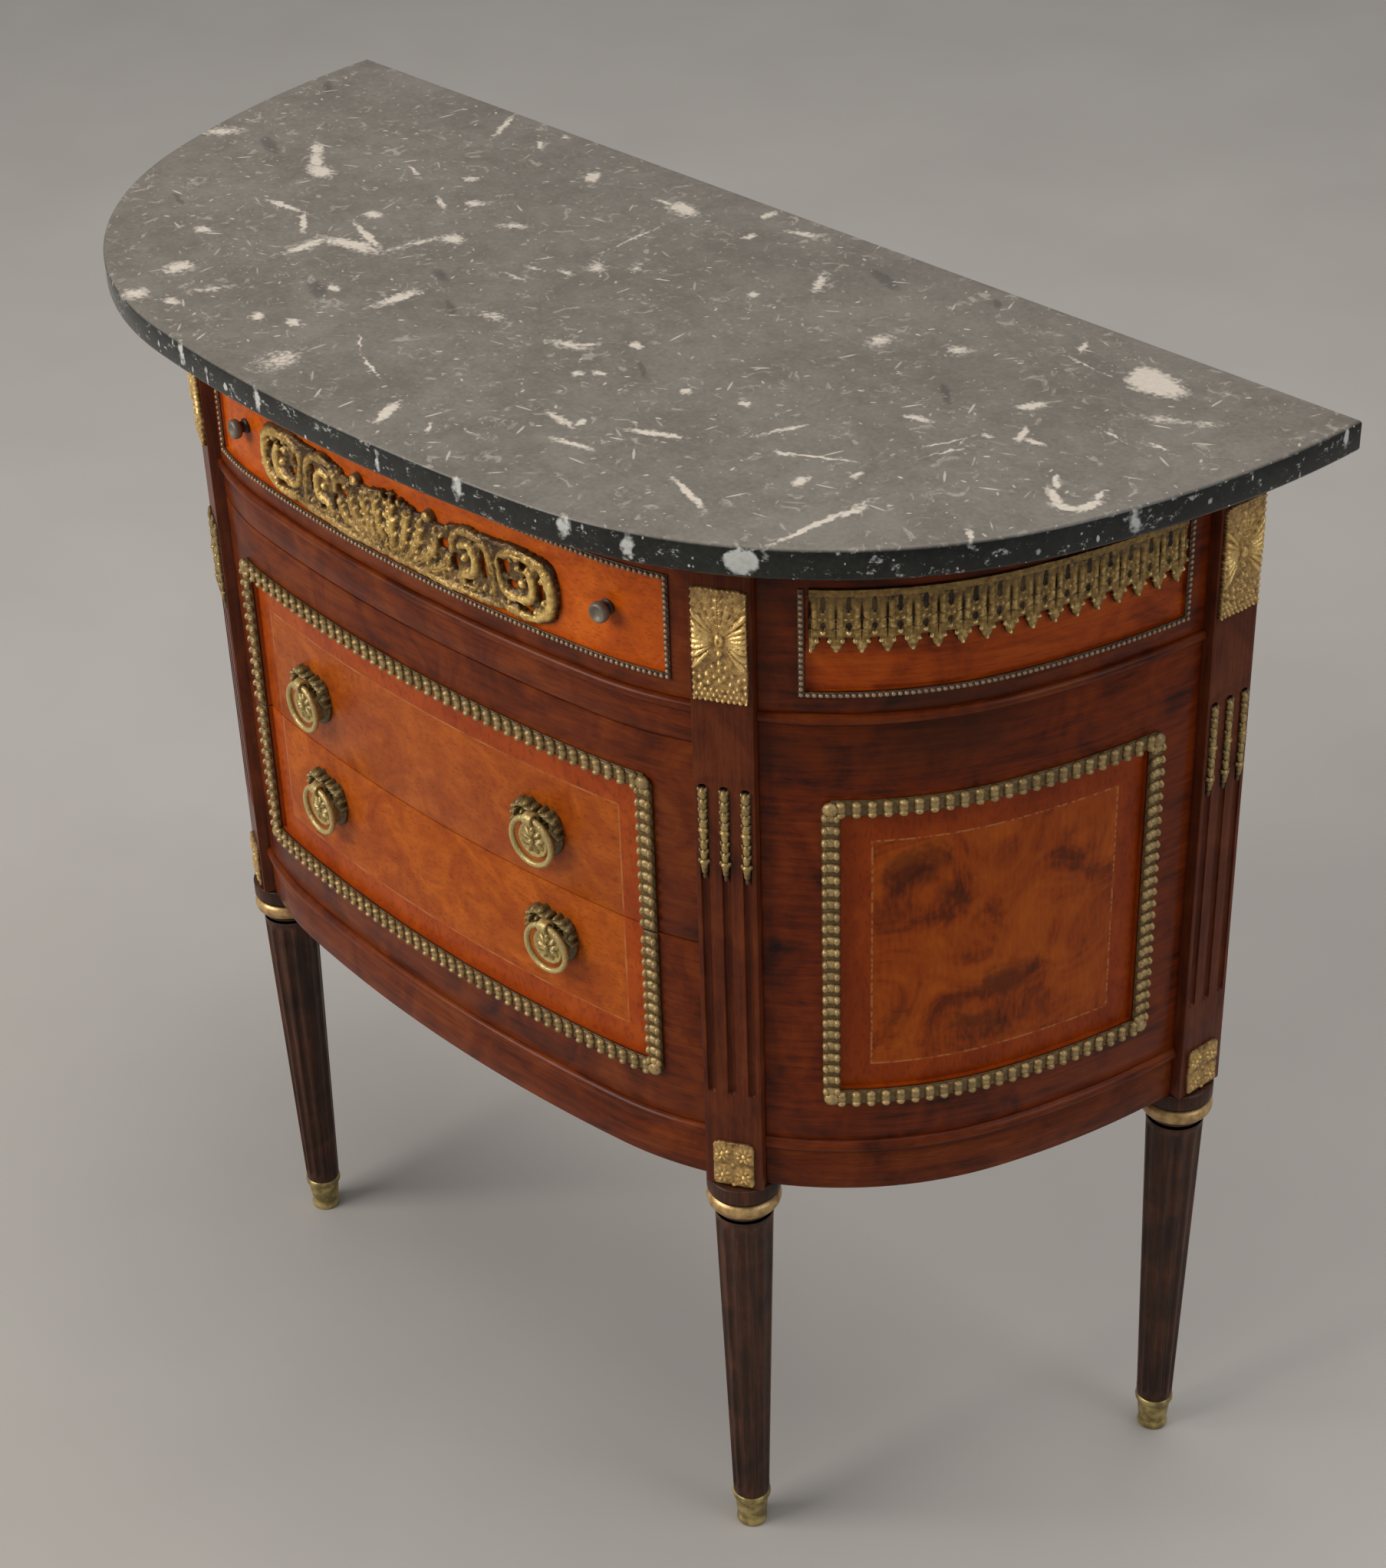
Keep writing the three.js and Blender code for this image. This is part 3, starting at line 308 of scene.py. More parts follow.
class Casting:
    """Thin cast plate: domes, ridges and grooves are stamped on a square net that becomes its front."""

    def __init__(self, x, z, cell, mirrored=False):
        self.x, self.z, self.cell = x, z, cell
        self.columns = round((x[1] - x[0]) / cell)
        self.rows = round((z[1] - z[0]) / cell)
        self.sides = (1, -1) if mirrored else (1,)
        self.heights = {}

    def spot(self, x, z, wide, tall, tilt, power):
        """Net points inside a stretched and turned spot, each with its share of the way to the rim."""
        for side in self.sides:
            cos, sin = math.cos(tilt), math.sin(tilt) * side
            far = max(wide, tall) * 1.3
            first, last = (round((side * x + edge - self.x[0]) / self.cell) for edge in (-far, far))
            low, high = (round((z + edge - self.z[0]) / self.cell) for edge in (-far, far))
            for i in range(max(0, first), min(self.columns, last) + 1):
                for j in range(max(0, low), min(self.rows, high) + 1):
                    dx = self.x[0] + i * self.cell - side * x
                    dz = self.z[0] + j * self.cell - z
                    across = abs((dx * cos + dz * sin) / wide) ** power
                    share = across + abs((dz * cos - dx * sin) / tall) ** power
                    if share < 1:
                        yield (i, j), share

    def dome(self, x, z, wide, tall, height, tilt=0.0, power=2, fullness=0.5):
        """Raises a spot to the height in its middle, where nothing higher stands yet."""
        for key, share in self.spot(x, z, wide, tall, tilt, power):
            self.heights[key] = max(self.heights.get(key, 0), height * (1 - share) ** fullness)

    def plate(self, x, z, wide, tall, height, power):
        self.dome(x, z, wide, tall, height, power=power, fullness=0.12)

    def groove(self, x, z, wide, tall, depth, tilt=0.0):
        for key, share in self.spot(x, z, wide, tall, tilt, 2):
            if key in self.heights:
                self.heights[key] = max(CAST_THICKNESS, self.heights[key] - depth * (1 - share))

    def hole(self, x, z, wide, tall, tilt=0.0):
        for key, _ in self.spot(x, z, wide, tall, tilt, 2):
            self.heights.pop(key, None)

    def ridge(self, points, count):
        """Rounded ridge through points of x, z, half width and height."""
        for x, z, width, height in curve_through(points, count):
            self.dome(x, z, width, width, height)

    def acanthus(self, points, count):
        """Ridge with five pairs of lobes along its edges and a vein down its middle."""
        path = curve_through(points, count)
        for index, (x, z, width, height) in enumerate(path):
            self.dome(x, z, width, width, height)
            before, after = path[max(0, index - 1)], path[min(count, index + 1)]
            slope = math.atan2(after[1] - before[1], after[0] - before[0])
            if index % (count // 5) == 1:
                for tilt in (slope - 0.9, slope + 0.9):
                    dx, dz = math.cos(tilt) * width, math.sin(tilt) * width
                    self.dome(x + dx, z + dz, width * 0.85, width * 0.5, height * 0.95, tilt)
        for x, z, width, height in path[1:-2]:
            self.groove(x, z, 0.7, 0.7, height * 0.3)

    def shape(self, rough, base=0.0):
        shape = bmesh.new()
        bmesh.ops.create_grid(shape, x_segments=self.columns, y_segments=self.rows, size=0.5)
        wide, tall = self.columns * self.cell, self.rows * self.cell
        turned(scaled(shape, wide, tall, 1), math.pi / 2, "X")
        moved(shape, self.x[0] + wide / 2, 0, self.z[0] + tall / 2)
        empty = set()
        for vert in shape.verts:
            i, j = (vert.co.x - self.x[0]) / self.cell, (vert.co.z - self.z[0]) / self.cell
            height = self.heights.get((round(i), round(j)))
            if height is None:
                empty.add(vert)
                continue
            coarse = noise.noise(vert.co * 0.23) + 0.5 * noise.noise(vert.co * 0.55)
            vert.co.y = -base - height - rough * coarse * min(1, height / 2)
        doomed = [face for face in shape.faces if any(vert in empty for vert in face.verts)]
        bmesh.ops.delete(shape, geom=doomed, context="FACES")
        rim = [vert for vert in shape.verts if any(edge.is_boundary for edge in vert.link_edges)]
        for _ in range(2):
            bmesh.ops.smooth_vert(shape, verts=rim, factor=0.5, use_axis_x=True, use_axis_z=True)
        for vert in rim:
            vert.co.y = -base
        bmesh.ops.solidify(shape, geom=shape.faces[:], thickness=CAST_THICKNESS)
        bmesh.ops.recalc_face_normals(shape, faces=shape.faces)
        return shape


def seams(part, gap=SEAM):
    """Both ends of a front, left or right piece: turn of its stile, the stile's side and the gap."""
    if part == "front":
        return [(STATIONS["front_left"], -1, gap), (STATIONS["front_right"], 1, gap)]
    sign = SIDES[part]
    return [(STATIONS[f"front_{part}"], -sign, gap), (STATIONS[f"back_{part}"], sign, gap)]


def trim_to_stile(shape, turn, toward, gap):
    """Cuts a laid piece off beside a stile that stands on its +x or -x side."""
    place = seat(turn, STILE_FACE)
    axis = (place.to_3x3() @ Vector((toward, 0, 0))).normalized()
    corner = place @ Vector((-toward * (STILE_WIDTH / 2 + gap), 0, 0))
    cut = bmesh.ops.bisect_plane(
        shape, geom=whole(shape), plane_co=corner, plane_no=axis, clear_outer=True,
    )
    bmesh.ops.edgeloop_fill(shape, edges=of_kind(cut["geom_cut"], bmesh.types.BMEdge))


def put_in_scene(name, content):
    made = bpy.data.objects.new(name, content)
    bpy.context.scene.collection.objects.link(made)
    return made


def finished(shape, name, finish):
    mesh = bpy.data.meshes.new(name)
    shape.to_mesh(mesh)
    shape.free()
    mesh.materials.append(finish.material)
    return put_in_scene(name, mesh)


def lay(shape, name, finish, body="carcase", place=onto_wall, replace=(), trims=(), crease=38):
    """Puts a flat shape on its seat and makes it a finished piece."""
    flat = shape.verts.layers.float_vector.new("flat")
    for vert in shape.verts:
        vert[flat] = vert.co
        vert.co = place(vert.co)
    for trim in trims:
        trim_to_stile(shape, *trim)
    scaled(shape, METRE, METRE, METRE)
    shape.normal_update()
    limit = math.radians(crease)
    for face in shape.faces:
        face.smooth = True
    for edge in shape.edges:
        edge.smooth = len(edge.link_faces) != 2 or edge.calc_face_angle(0) < limit
    piece = finished(shape, name, finish)
    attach(piece, body)
    if replace:
        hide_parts(*replace)
    return piece


# Finishes


class Value:
    """A shader socket that Python's operators work on."""

    def __init__(self, finish, socket):
        self.finish = finish
        self.socket = socket

    def maths(self, operation, *numbers):
        return self.finish.node("Math", {"operation": operation}, dict(enumerate(numbers)))

    def __add__(self, other):
        return self.maths("ADD", self, other)

    __radd__ = __add__

    def __sub__(self, other):
        return self.maths("SUBTRACT", self, other)

    def __rsub__(self, other):
        return self.maths("SUBTRACT", other, self)

    def __mul__(self, other):
        return self.maths("MULTIPLY", self, other)

    __rmul__ = __mul__


    def __abs__(self):
        return self.maths("ABSOLUTE", self)

    def at_least(self, other):
        return self.maths("MAXIMUM", self, other)

    def at_most(self, other):
        return self.maths("MINIMUM", self, other)

    def over(self, low, high):
        """0 below low, 1 above high and smooth between them."""
        return self.finish.node(
            "MapRange", {"interpolation_type": "SMOOTHSTEP"},
            {"Value": self, "From Min": low, "From Max": high},
        )


class Finish:
    """A finish of the commode, built as one Principled shader."""

    def __init__(self, name, slot, constants, laid=True):
        self.material = bpy.data.materials.new(name)
        self.material.use_nodes = True
        self.slot = slot
        self.tree = self.material.node_tree
        self.shader = self.tree.nodes["Principled BSDF"]
        for socket, number in constants.items():
            self.shader.inputs[socket].default_value = number
        if laid:
            self.place = self.node("Attribute", {"attribute_name": "flat"}, {}, "Vector")
        else:
            metres = self.node("TexCoord", {}, {}, "Object")
            self.place = self.vector("SCALE", metres, Scale=1 / METRE)
        self.x, self.y, self.z = (self.node("SeparateXYZ", {}, {0: self.place}, axis) for axis in "XYZ")

    def node(self, kind, settings, inputs, output=0):
        made = self.tree.nodes.new("ShaderNode" + kind)
        for name, setting in settings.items():
            if name == "stops":
                ramp = made.color_ramp
                while len(ramp.elements) < len(setting):
                    ramp.elements.new(0.5)
                for element, (position, colour) in zip(ramp.elements, setting):
                    element.position = position
                    element.color = (*colour, 1)
            else:
                setattr(made, name, setting)
        for name, value in inputs.items():
            self.feed(made.inputs[name], value)
        return Value(self, made.outputs[output])

    def feed(self, socket, value):
        if isinstance(value, Value):
            self.tree.links.new(value.socket, socket)
        elif socket.type == "RGBA" and len(value) == 3:
            socket.default_value = (*value, 1)
        else:
            socket.default_value = value

    def set(self, socket, value):
        self.feed(self.shader.inputs[socket], value)

    def vector(self, operation, *numbered, output="Vector", **named):
        """Vector maths on inputs given by number or by name."""
        inputs = {**dict(enumerate(numbered)), **named}
        return self.node("VectorMath", {"operation": operation}, inputs, output)

    def noise(self, scale, shift=(0, 0, 0), detail=3.0, rough=0.5, bend=0.0, output=0):
        """Noise whose grains measure 1 / scale millimetres along x, y and z."""
        if not hasattr(scale, "__len__"):
            scale = (scale,) * 3
        place = self.node("Mapping", {}, {"Vector": self.place, "Scale": scale, "Location": shift})
        inputs = {"Vector": place, "Scale": 1, "Detail": detail, "Roughness": rough, "Distortion": bend}
        return self.node("TexNoise", {}, inputs, output)

    def ramp(self, factor, stops):
        return self.node("ValToRGB", {"stops": stops}, {0: factor})

    def mix(self, factor, first, second, blend="MIX"):
        settings = {"data_type": "RGBA", "blend_type": blend}
        return self.node("Mix", settings, {0: factor, 6: first, 7: second}, 2)

    def bump(self, height, strength, distance):
        inputs = {"Strength": strength, "Distance": distance, "Height": height}
        self.set("Normal", self.node("Bump", {}, inputs))


def inside(value, low, high, soft):
    """1 where the value lies between low and high."""
    return value.over(low - soft, low + soft) * (1 - value.over(high - soft, high + soft))


def wood_figure(finish, grain, dark, middle, light, streak=0.35, mottle=0.02, shift=0.0):
    """Colour of streaked and mottled wood, and its streaks."""
    wander = (shift, shift * 0.7, shift * 1.3)
    streaks = finish.noise(grain, wander, detail=4, rough=0.6, bend=0.4)
    cloud = finish.noise(mottle, wander, detail=4, rough=0.6, bend=1.2)
    pores = finish.noise(tuple(5 * part for part in grain), wander, detail=2, rough=0.5)
    blend = streaks * streak + cloud * (1 - streak)
    colour = finish.ramp(blend, [(0.34, dark), (0.5, middle), (0.64, light)])
    shade = 1 - pores.over(0.5, 0.72) * 0.28
    shades = finish.node("CombineXYZ", {}, {0: shade, 1: shade, 2: shade})
    return finish.mix(1.0, colour, shades, "MULTIPLY"), streaks


def polished(finish, colour, streaks, rough=0.36):
    dull = finish.noise(0.02, detail=3)
    finish.set("Base Color", colour)
    finish.set("Roughness", rough + (dull - 0.5) * 0.16)
    finish.bump(streaks + finish.noise(0.9, detail=2) * 0.5, 0.07, 0.0004)


SHELLAC = {"Specular IOR Level": 0.12, "Coat Weight": 0.06, "Coat Roughness": 0.12}
# Grain: how fine the figure is along x, y and z.
UPRIGHT = (0.28, 0.28, 0.016)
LYING = (0.016, 0.28, 0.2)
# Dark, middle and light tones of the woods, and the tone and width of the light string.
RED = ((0.045, 0.008, 0.003), (0.13, 0.021, 0.003), (0.19, 0.038, 0.005))
ORANGE = ((0.27, 0.042, 0.003), (0.36, 0.070, 0.004), (0.46, 0.100, 0.007))
# The frieze's field is the same wood as the deep drawers', painted lighter to make up for the shade under
# the marble's overhang.
FRIEZE_ORANGE_PAINTED_LIGHTER = ((0.36, 0.052, 0.003), (0.50, 0.086, 0.004), (0.62, 0.125, 0.007))
BAND = ((0.26, 0.034, 0.003), (0.34, 0.052, 0.004), (0.41, 0.072, 0.006))
SIDE_BAND = ((0.18, 0.022, 0.002), (0.27, 0.036, 0.002), (0.33, 0.05, 0.003))
SIDE_ORANGE = ((0.16, 0.021, 0.002), (0.37, 0.055, 0.003), (0.45, 0.085, 0.005))
SIDE_RED = ((0.022, 0.005, 0.003), (0.13, 0.018, 0.002), (0.20, 0.032, 0.003))
STILE_RED = ((0.05, 0.010, 0.004), (0.105, 0.021, 0.006), (0.15, 0.034, 0.009))
LEG_BROWN = ((0.018, 0.007, 0.004), (0.048, 0.018, 0.009), (0.11, 0.034, 0.014))
PALE = ((0.22, 0.12, 0.05), (0.34, 0.20, 0.09), (0.46, 0.30, 0.15))
BURR = ((0.12, 0.018, 0.002), (0.28, 0.044, 0.002), (0.40, 0.080, 0.004))
STRING = (0.50, 0.20, 0.06)
STRING_WIDTH = 1.3


def banded(finish, across, along, spans, strength, band, centre):
    """The centre within a rectangle, the crossband outside it and a light string line round it."""
    (inner, outer), (low, high) = spans
    within = inside(across, inner, outer, 0.4) * inside(along, low, high, 0.4)
    wider = inside(across, inner - STRING_WIDTH, outer + STRING_WIDTH, 0.4)
    wider = wider * inside(along, low - STRING_WIDTH, high + STRING_WIDTH, 0.4)
    line = (wider - within).at_least(0) * strength
    return finish.mix(line, finish.mix(within, band, centre), STRING)


def front_veneer(name, field, run, crossband):
    """Orange field in a red-brown border; a crossband and a light string run round the deep drawers."""
    finish = Finish(name, "satinwood", SHELLAC)
    border, streaks = wood_figure(finish, LYING, *RED, shift=3)
    # The frieze takes the tones painted lighter against the shade under the marble.
    tones = ORANGE if crossband else FRIEZE_ORANGE_PAINTED_LIGHTER
    centre, _ = wood_figure(finish, (0.05, 0.2, 0.12), *tones, streak=0.25, mottle=0.028, shift=11)
    across, along = abs(finish.x), finish.z
    low, high = field
    if crossband:
        band, _ = wood_figure(finish, (0.08, 0.2, 0.05), *BAND, streak=0.3, shift=5)
        spans = ((-1000, run - 18.5), (low + 20.5, high - 22.5))
        patchy = 0.15 + finish.noise(0.05).over(0.35, 0.7) * 0.6
        centre = banded(finish, across, along, spans, patchy, band, centre)
    mask = inside(along, low, high, 0.3) * (1 - across.over(run - 0.3, run + 0.3))
    polished(finish, finish.mix(mask, border, centre), streaks)
    return finish


# Place along the wall and height, half length, half width, angle and strength of the burr's knots.
KNOTS = [
    (385, 592, 22, 15, 20, 0.8), (412, 570, 16, 10, -30, 0.6), (446, 492, 27, 13, 10, 0.8),
    (430, 462, 30, 12, -20, 0.7), (500, 560, 14, 20, 10, 0.35), (372, 470, 12, 16, 0, 0.35),
]


def burr_field(finish, across, along, run, field):
    """Burr with dark knots, a dashed light string and a crossband."""
    band, _ = wood_figure(finish, (0.1, 0.2, 0.03), *SIDE_BAND)
    swirl = finish.noise(0.017, (17, 5, 2), detail=5, rough=0.6, bend=1.3)
    fibre = finish.noise((0.35, 0.35, 0.08), detail=3)
    centre = finish.ramp(swirl * 0.8 + fibre * 0.2, [(0.36, BURR[0]), (0.47, BURR[1]), (0.62, BURR[2])])
    knots = Marks(finish, finish.node("CombineXYZ", {}, {0: across, 1: along, 2: 0}))
    for knot in KNOTS:
        knots.add(*knot, z=0, drop=1)
    ragged = finish.noise(0.05, (3, 9, 4), detail=5, rough=0.65, bend=0.8)
    dark = (knots.strength + (ragged - 0.5) * 5).over(0.2, 1.8)
    centre = finish.mix(dark * 0.62, centre, (0.045, 0.009, 0.002))
    spans = ((run[0] + 21, run[1] - 21), (field[0] + 19, field[1] - 23))
    dashes = finish.noise(0.3, detail=0).over(0.44, 0.52) * 0.55
    return banded(finish, across, along, spans, dashes + 0.12, band, centre)


def side_veneer(name, field, run, burr):
    """Field in a red-brown border that is painted darker, in blotches, at its upper front."""
    finish = Finish(name, "burr_walnut" if burr else "satinwood", SHELLAC)
    border, streaks = wood_figure(finish, LYING, *SIDE_RED, streak=0.45, shift=7)
    across, along = abs(finish.x), finish.z
    if burr:
        centre = burr_field(finish, across, along, run, field)
    else:
        centre, _ = wood_figure(finish, LYING, *SIDE_ORANGE, shift=13)
    cloud = finish.noise(0.012, (5, 5, 5), detail=3)
    upper_front_dark = along.over(650, 690) * (1 - across.over(420, 500)) * cloud.over(0.3, 0.6)
    border = finish.mix(upper_front_dark * 0.6, border, (0.022, 0.010, 0.005))
    mask = inside(along, *field, 0.3) * inside(across, *run, 0.3)
    polished(finish, finish.mix(mask, border, centre), streaks, rough=0.32)
    return finish


def plain_wood(name, slot, grain, tones, laid=True, rough=0.36, polish=SHELLAC, shift=0.0, mottle=0.02):
    finish = Finish(name, slot, polish, laid)
    colour, streaks = wood_figure(finish, grain, *tones, streak=0.45, mottle=mottle, shift=shift)
    polished(finish, colour, streaks, rough)
    return finish


def gilt_brass(name, relief, low, middle, high, metallic=0.5, rough=0.4, lumps=0.5, top_tarnish_and_shade=None):
    """Old gilding, darker near the seat and brighter on what stands proud: patina and wear, together with
    painted shade in the hollows and painted highlights on the raised parts.
    """
    finish = Finish(name, "brass", {})
    proud = (finish.y * -1).over(relief * 0.1, relief)
    worn = finish.noise(0.33, detail=3)
    fine = finish.noise(1.1, detail=2)
    cloud = finish.noise(0.045, detail=2)
    # Painted light and wear: brighter with the height of the relief, darker near the seat, with worn
    # patches.
    painted_light_and_wear = proud * 0.8 + (worn - 0.5) * 0.8 + (fine - 0.5) * 0.4 + 0.05
    # Darker towards the top: tarnish together with painted shade.
    if top_tarnish_and_shade:
        painted_light_and_wear = painted_light_and_wear - finish.z.over(*top_tarnish_and_shade) * 0.35
    gold = finish.ramp(painted_light_and_wear, [(0.05, low), (0.5, middle), (0.95, high)])
    dust = tuple(0.9 * part for part in (middle[0], middle[1], middle[2] * 1.3))
    finish.set("Base Color", finish.mix(cloud.over(0.45, 0.7) * 0.4, gold, dust))
    finish.set("Metallic", metallic * (0.6 + proud * 0.4))
    finish.set("Roughness", rough - proud * 0.1 + (worn - 0.5) * 0.2)
    finish.bump(worn + fine * 0.35, lumps, 0.0012)
    return finish


class Marks:
    """Stretched spots in a wood or stone, each placed in millimetres, of which the strongest shows."""

    def __init__(self, finish, place):
        self.finish = finish
        self.place = place
        self.strength = None

    def add(self, x, y, length, width, angle, strength, z=MARBLE_TOP, drop=9):
        inputs = {
            "Vector": self.place, "Location": (x, y, z), "Rotation": (0, 0, math.radians(angle)),
            "Scale": (length, width, drop),
        }
        local = self.finish.node("Mapping", {"vector_type": "TEXTURE"}, inputs)
        reach = self.finish.vector("LENGTH", local, output="Value")
        spot = (1.5 - reach) * (2.0 * strength)
        self.strength = spot if self.strength is None else self.strength.at_least(spot)


# Place, half length, half width, angle and strength of the larger shells in the marble's top.
SHELLS = [
    (-283, 190, 22, 2.4, -60, 0.7), (-230, 205, 5, 3, 0, 0.5), (-233, 183, 9, 2.6, -40, 0.6),
    (-158, 166, 8, 5, -50, 0.9), (-66, 168, 14, 8, -10, 0.9), (-84, 168, 9, 2, 0, 0.7),
    (-54, 110, 32, 1.3, -87, 0.5), (-221, 105, 6, 5, 0, 0.7), (-185, 75, 6, 5, 0, 0.8),
    (-202, 60, 11, 2, -25, 0.8), (-265, 87, 10, 1.6, -25, 0.6), (-132, 68, 11, 5, 35, 0.5),
    (-352, 66, 12, 4, -35, 0.8), (-335, 52, 15, 5, -35, 0.85), (-316, 40, 16, 8, -10, 0.75),
    (-435, 40, 14, 7, 50, 0.6), (-222, 14, 6, 5, 0, 0.8), (-147, 24, 8, 7, 0, 0.8),
    (-160, 2, 20, 3.4, 75, 0.5), (-197, -12, 26, 2.6, -18, 0.9), (-192, -30, 24, 7, 10, 0.75),
    (-214, -54, 19, 4.2, 88, 0.75), (-282, -18, 18, 2.8, 5, 0.8), (-250, -27, 17, 2.4, -38, 0.8),
    (-292, -83, 6, 4.5, 0, 0.65), (-250, -134, 8, 10, 10, 0.85), (-98, -68, 18, 5.5, 85, 0.8),
    (-142, -85, 5, 3, 0, 1.0), (-120, -137, 6, 3.4, -30, 1.0), (-144, -147, 7, 4, -20, 0.8),
    (-204, -143, 11, 3.4, 60, 0.45), (-62, -127, 10, 1.1, -38, 0.7), (-30, -145, 17, 1.3, -20, 0.7),
    (-80, -178, 11, 17, 0, 0.5), (-236, -182, 9, 8, 0, 0.7), (-208, -172, 8, 4, 0, 0.7),
    (-28, -42, 10, 5, 0, 0.45), (-45, 38, 8, 3, 0, 0.55), (-36, 58, 8, 6, 0, 0.5),
    (-15, 75, 9, 4, -50, 0.45), (-68, 28, 11, 2, 10, 0.45), (-68, 10, 11, 2, 0, 0.45),
    (-13, 200, 3, 7, 0, 0.6), (27, 193, 12, 3, 20, 0.55), (3, 166, 4, 6, 0, 0.6),
    (93, 141, 15, 3.6, -58, 0.7), (74, 97, 4, 3.2, 0, 0.85), (185, 100, 5.5, 10, 0, 0.55),
    (232, 124, 7, 6, 0, 0.7), (287, 181, 8, 2, -60, 0.7), (305, 162, 20, 1.4, -8, 0.5),
    (355, 170, 19, 12, -5, 1.2), (341, 177, 9, 8, 20, 1.1), (392, 136, 25, 4, 28, 0.45),
    (380, 97, 13, 1.4, -12, 0.6), (412, 104, 8, 1.6, 5, 0.5), (318, 95, 8, 4, 60, 0.9),
    (339, 62, 9, 2.6, -65, 0.9), (352, 59, 9, 2, 8, 0.8), (277, 35, 9, 3.6, 15, 0.75),
    (325, 46, 3.5, 3, 0, 0.7), (394, 28, 9, 2, -50, 0.9), (404, 14, 10, 3, -28, 1.1),
    (418, 8, 8, 3, 15, 1.1), (427, 18, 9, 3.2, 80, 1.1), (424, 31, 5, 2, 120, 0.9),
    (312, 22, 18, 1.1, 68, 0.6), (321, 14, 16, 1.1, 70, 0.6), (319, 30, 8, 1.2, 95, 0.5),
    (228, -33, 17, 1.7, 68, 0.65), (266, -45, 22, 1.4, 27, 0.75), (250, -54, 6, 2, 10, 0.8),
    (303, -44, 2.6, 5, 0, 0.7), (283, -73, 3, 6, 0, 0.8), (175, -88, 17, 3.2, 25, 0.95),
    (327, -107, 35, 2, 87, 0.9), (331, -80, 9, 3.8, 80, 0.85), (245, -128, 19, 2.4, -20, 1.1),
    (117, -114, 15, 2.8, -8, 0.8), (130, -108, 3, 5, 0, 0.7), (150, -131, 15, 2.6, 10, 0.7),
    (30, -180, 15, 3.2, -65, 0.9), (40, -38, 13, 5, 15, 0.55), (49, -31, 9, 2, 50, 0.5),
    (74, -9, 5, 4, 0, 1.0), (147, -34, 4, 3.4, 0, 0.85), (186, -22, 3.5, 3, 0, 0.8),
    (77, -63, 4, 4, 0, 0.7), (88, -53, 7, 2.4, 10, 0.65), (66, -177, 8, 1.2, -50, 0.6),
    (90, -163, 10, 1.4, 0, 0.4), (400, -55, 8, 2, -45, 0.8),
]
# The same for shells in its edge, with their height above the floor as well.
EDGE_SHELLS = [
    (317, -157, 9, 8, 0, 2.6, 850), (338, -143, 3.2, 3.2, 0, 1.6, 855), (388, -96, 4, 4, 0, 0.8, 853),
    (405, -68, 1.8, 4, 0, 1.1, 850), (424, -40, 1.8, 3, 0, 1.1, 852), (447, 38, 2, 6, 0, 1.0, 851),
    (212, -196, 4, 3, 0, 0.9, 853), (252, -184, 4, 2, 0, 0.9, 849), (-60, -214, 3, 3, 0, 0.9, 850),
    (-150, -207, 3, 4, 0, 1.0, 853), (60, -214, 2, 3, 0, 0.9, 848), (-330, -138, 3, 3, 0, 0.9, 850),
    (130, -209, 3, 3, 0, 0.8, 854), (462, 120, 3, 5, 0, 0.8, 850),
]
# Place, half length, half width and angle of the dark stains.
STAINS = [
    (-150, -93, 15, 5, -25), (-385, 47, 17, 5, -25), (-350, -62, 11, 2, -20), (-448, 152, 14, 4, -35),
    (268, 72, 15, 3, -40), (203, 195, 7, 3, -40), (122, 174, 18, 5, -20), (104, -32, 14, 2, -35),
    (-105, -22, 12, 4, -20), (-60, -52, 14, 3, -30),
]
# Size of the cells, half length, half width and share of the cells that hold a crumb of shell.
CRUMBS = [(26, 7, 0.9, 0.55), (14, 2.4, 1.0, 0.6), (7, 0.9, 0.6, 0.5)]


def shell_crumbs(finish, fine):
    """Small shells scattered at random, one at most in each cell."""
    crumbs = None
    for cell, length, width, share in CRUMBS:
        spread = finish.vector("SCALE", finish.place, Scale=1 / cell)
        kind = {"voronoi_dimensions": "3D", "feature": "F1"}
        inputs = {"Vector": spread, "Scale": 1, "Randomness": 0.9}
        spot = finish.node("TexVoronoi", kind, inputs, "Position")
        hue = finish.node("TexVoronoi", kind, inputs, "Color")
        offset = finish.vector("SUBTRACT", spread, spot)
        chance, turn = (finish.node("SeparateColor", {}, {0: hue}, name) for name in ("Red", "Green"))
        inputs = {"Vector": offset, "Angle": turn * 6.28}
        laid = finish.node("VectorRotate", {"rotation_type": "Z_AXIS"}, inputs, "Vector")
        local = finish.vector("DIVIDE", laid, (length / cell, width / cell, length / cell))
        reach = finish.vector("LENGTH", local, output="Value") + (fine - 0.5) * 1.2
        crumb = (1 - reach.over(0.6, 1.2)) * (1 - chance.over(share, share + 0.01)) * (0.4 + turn * 0.5)
        crumbs = crumb if crumbs is None else crumbs.at_least(crumb)
    return crumbs


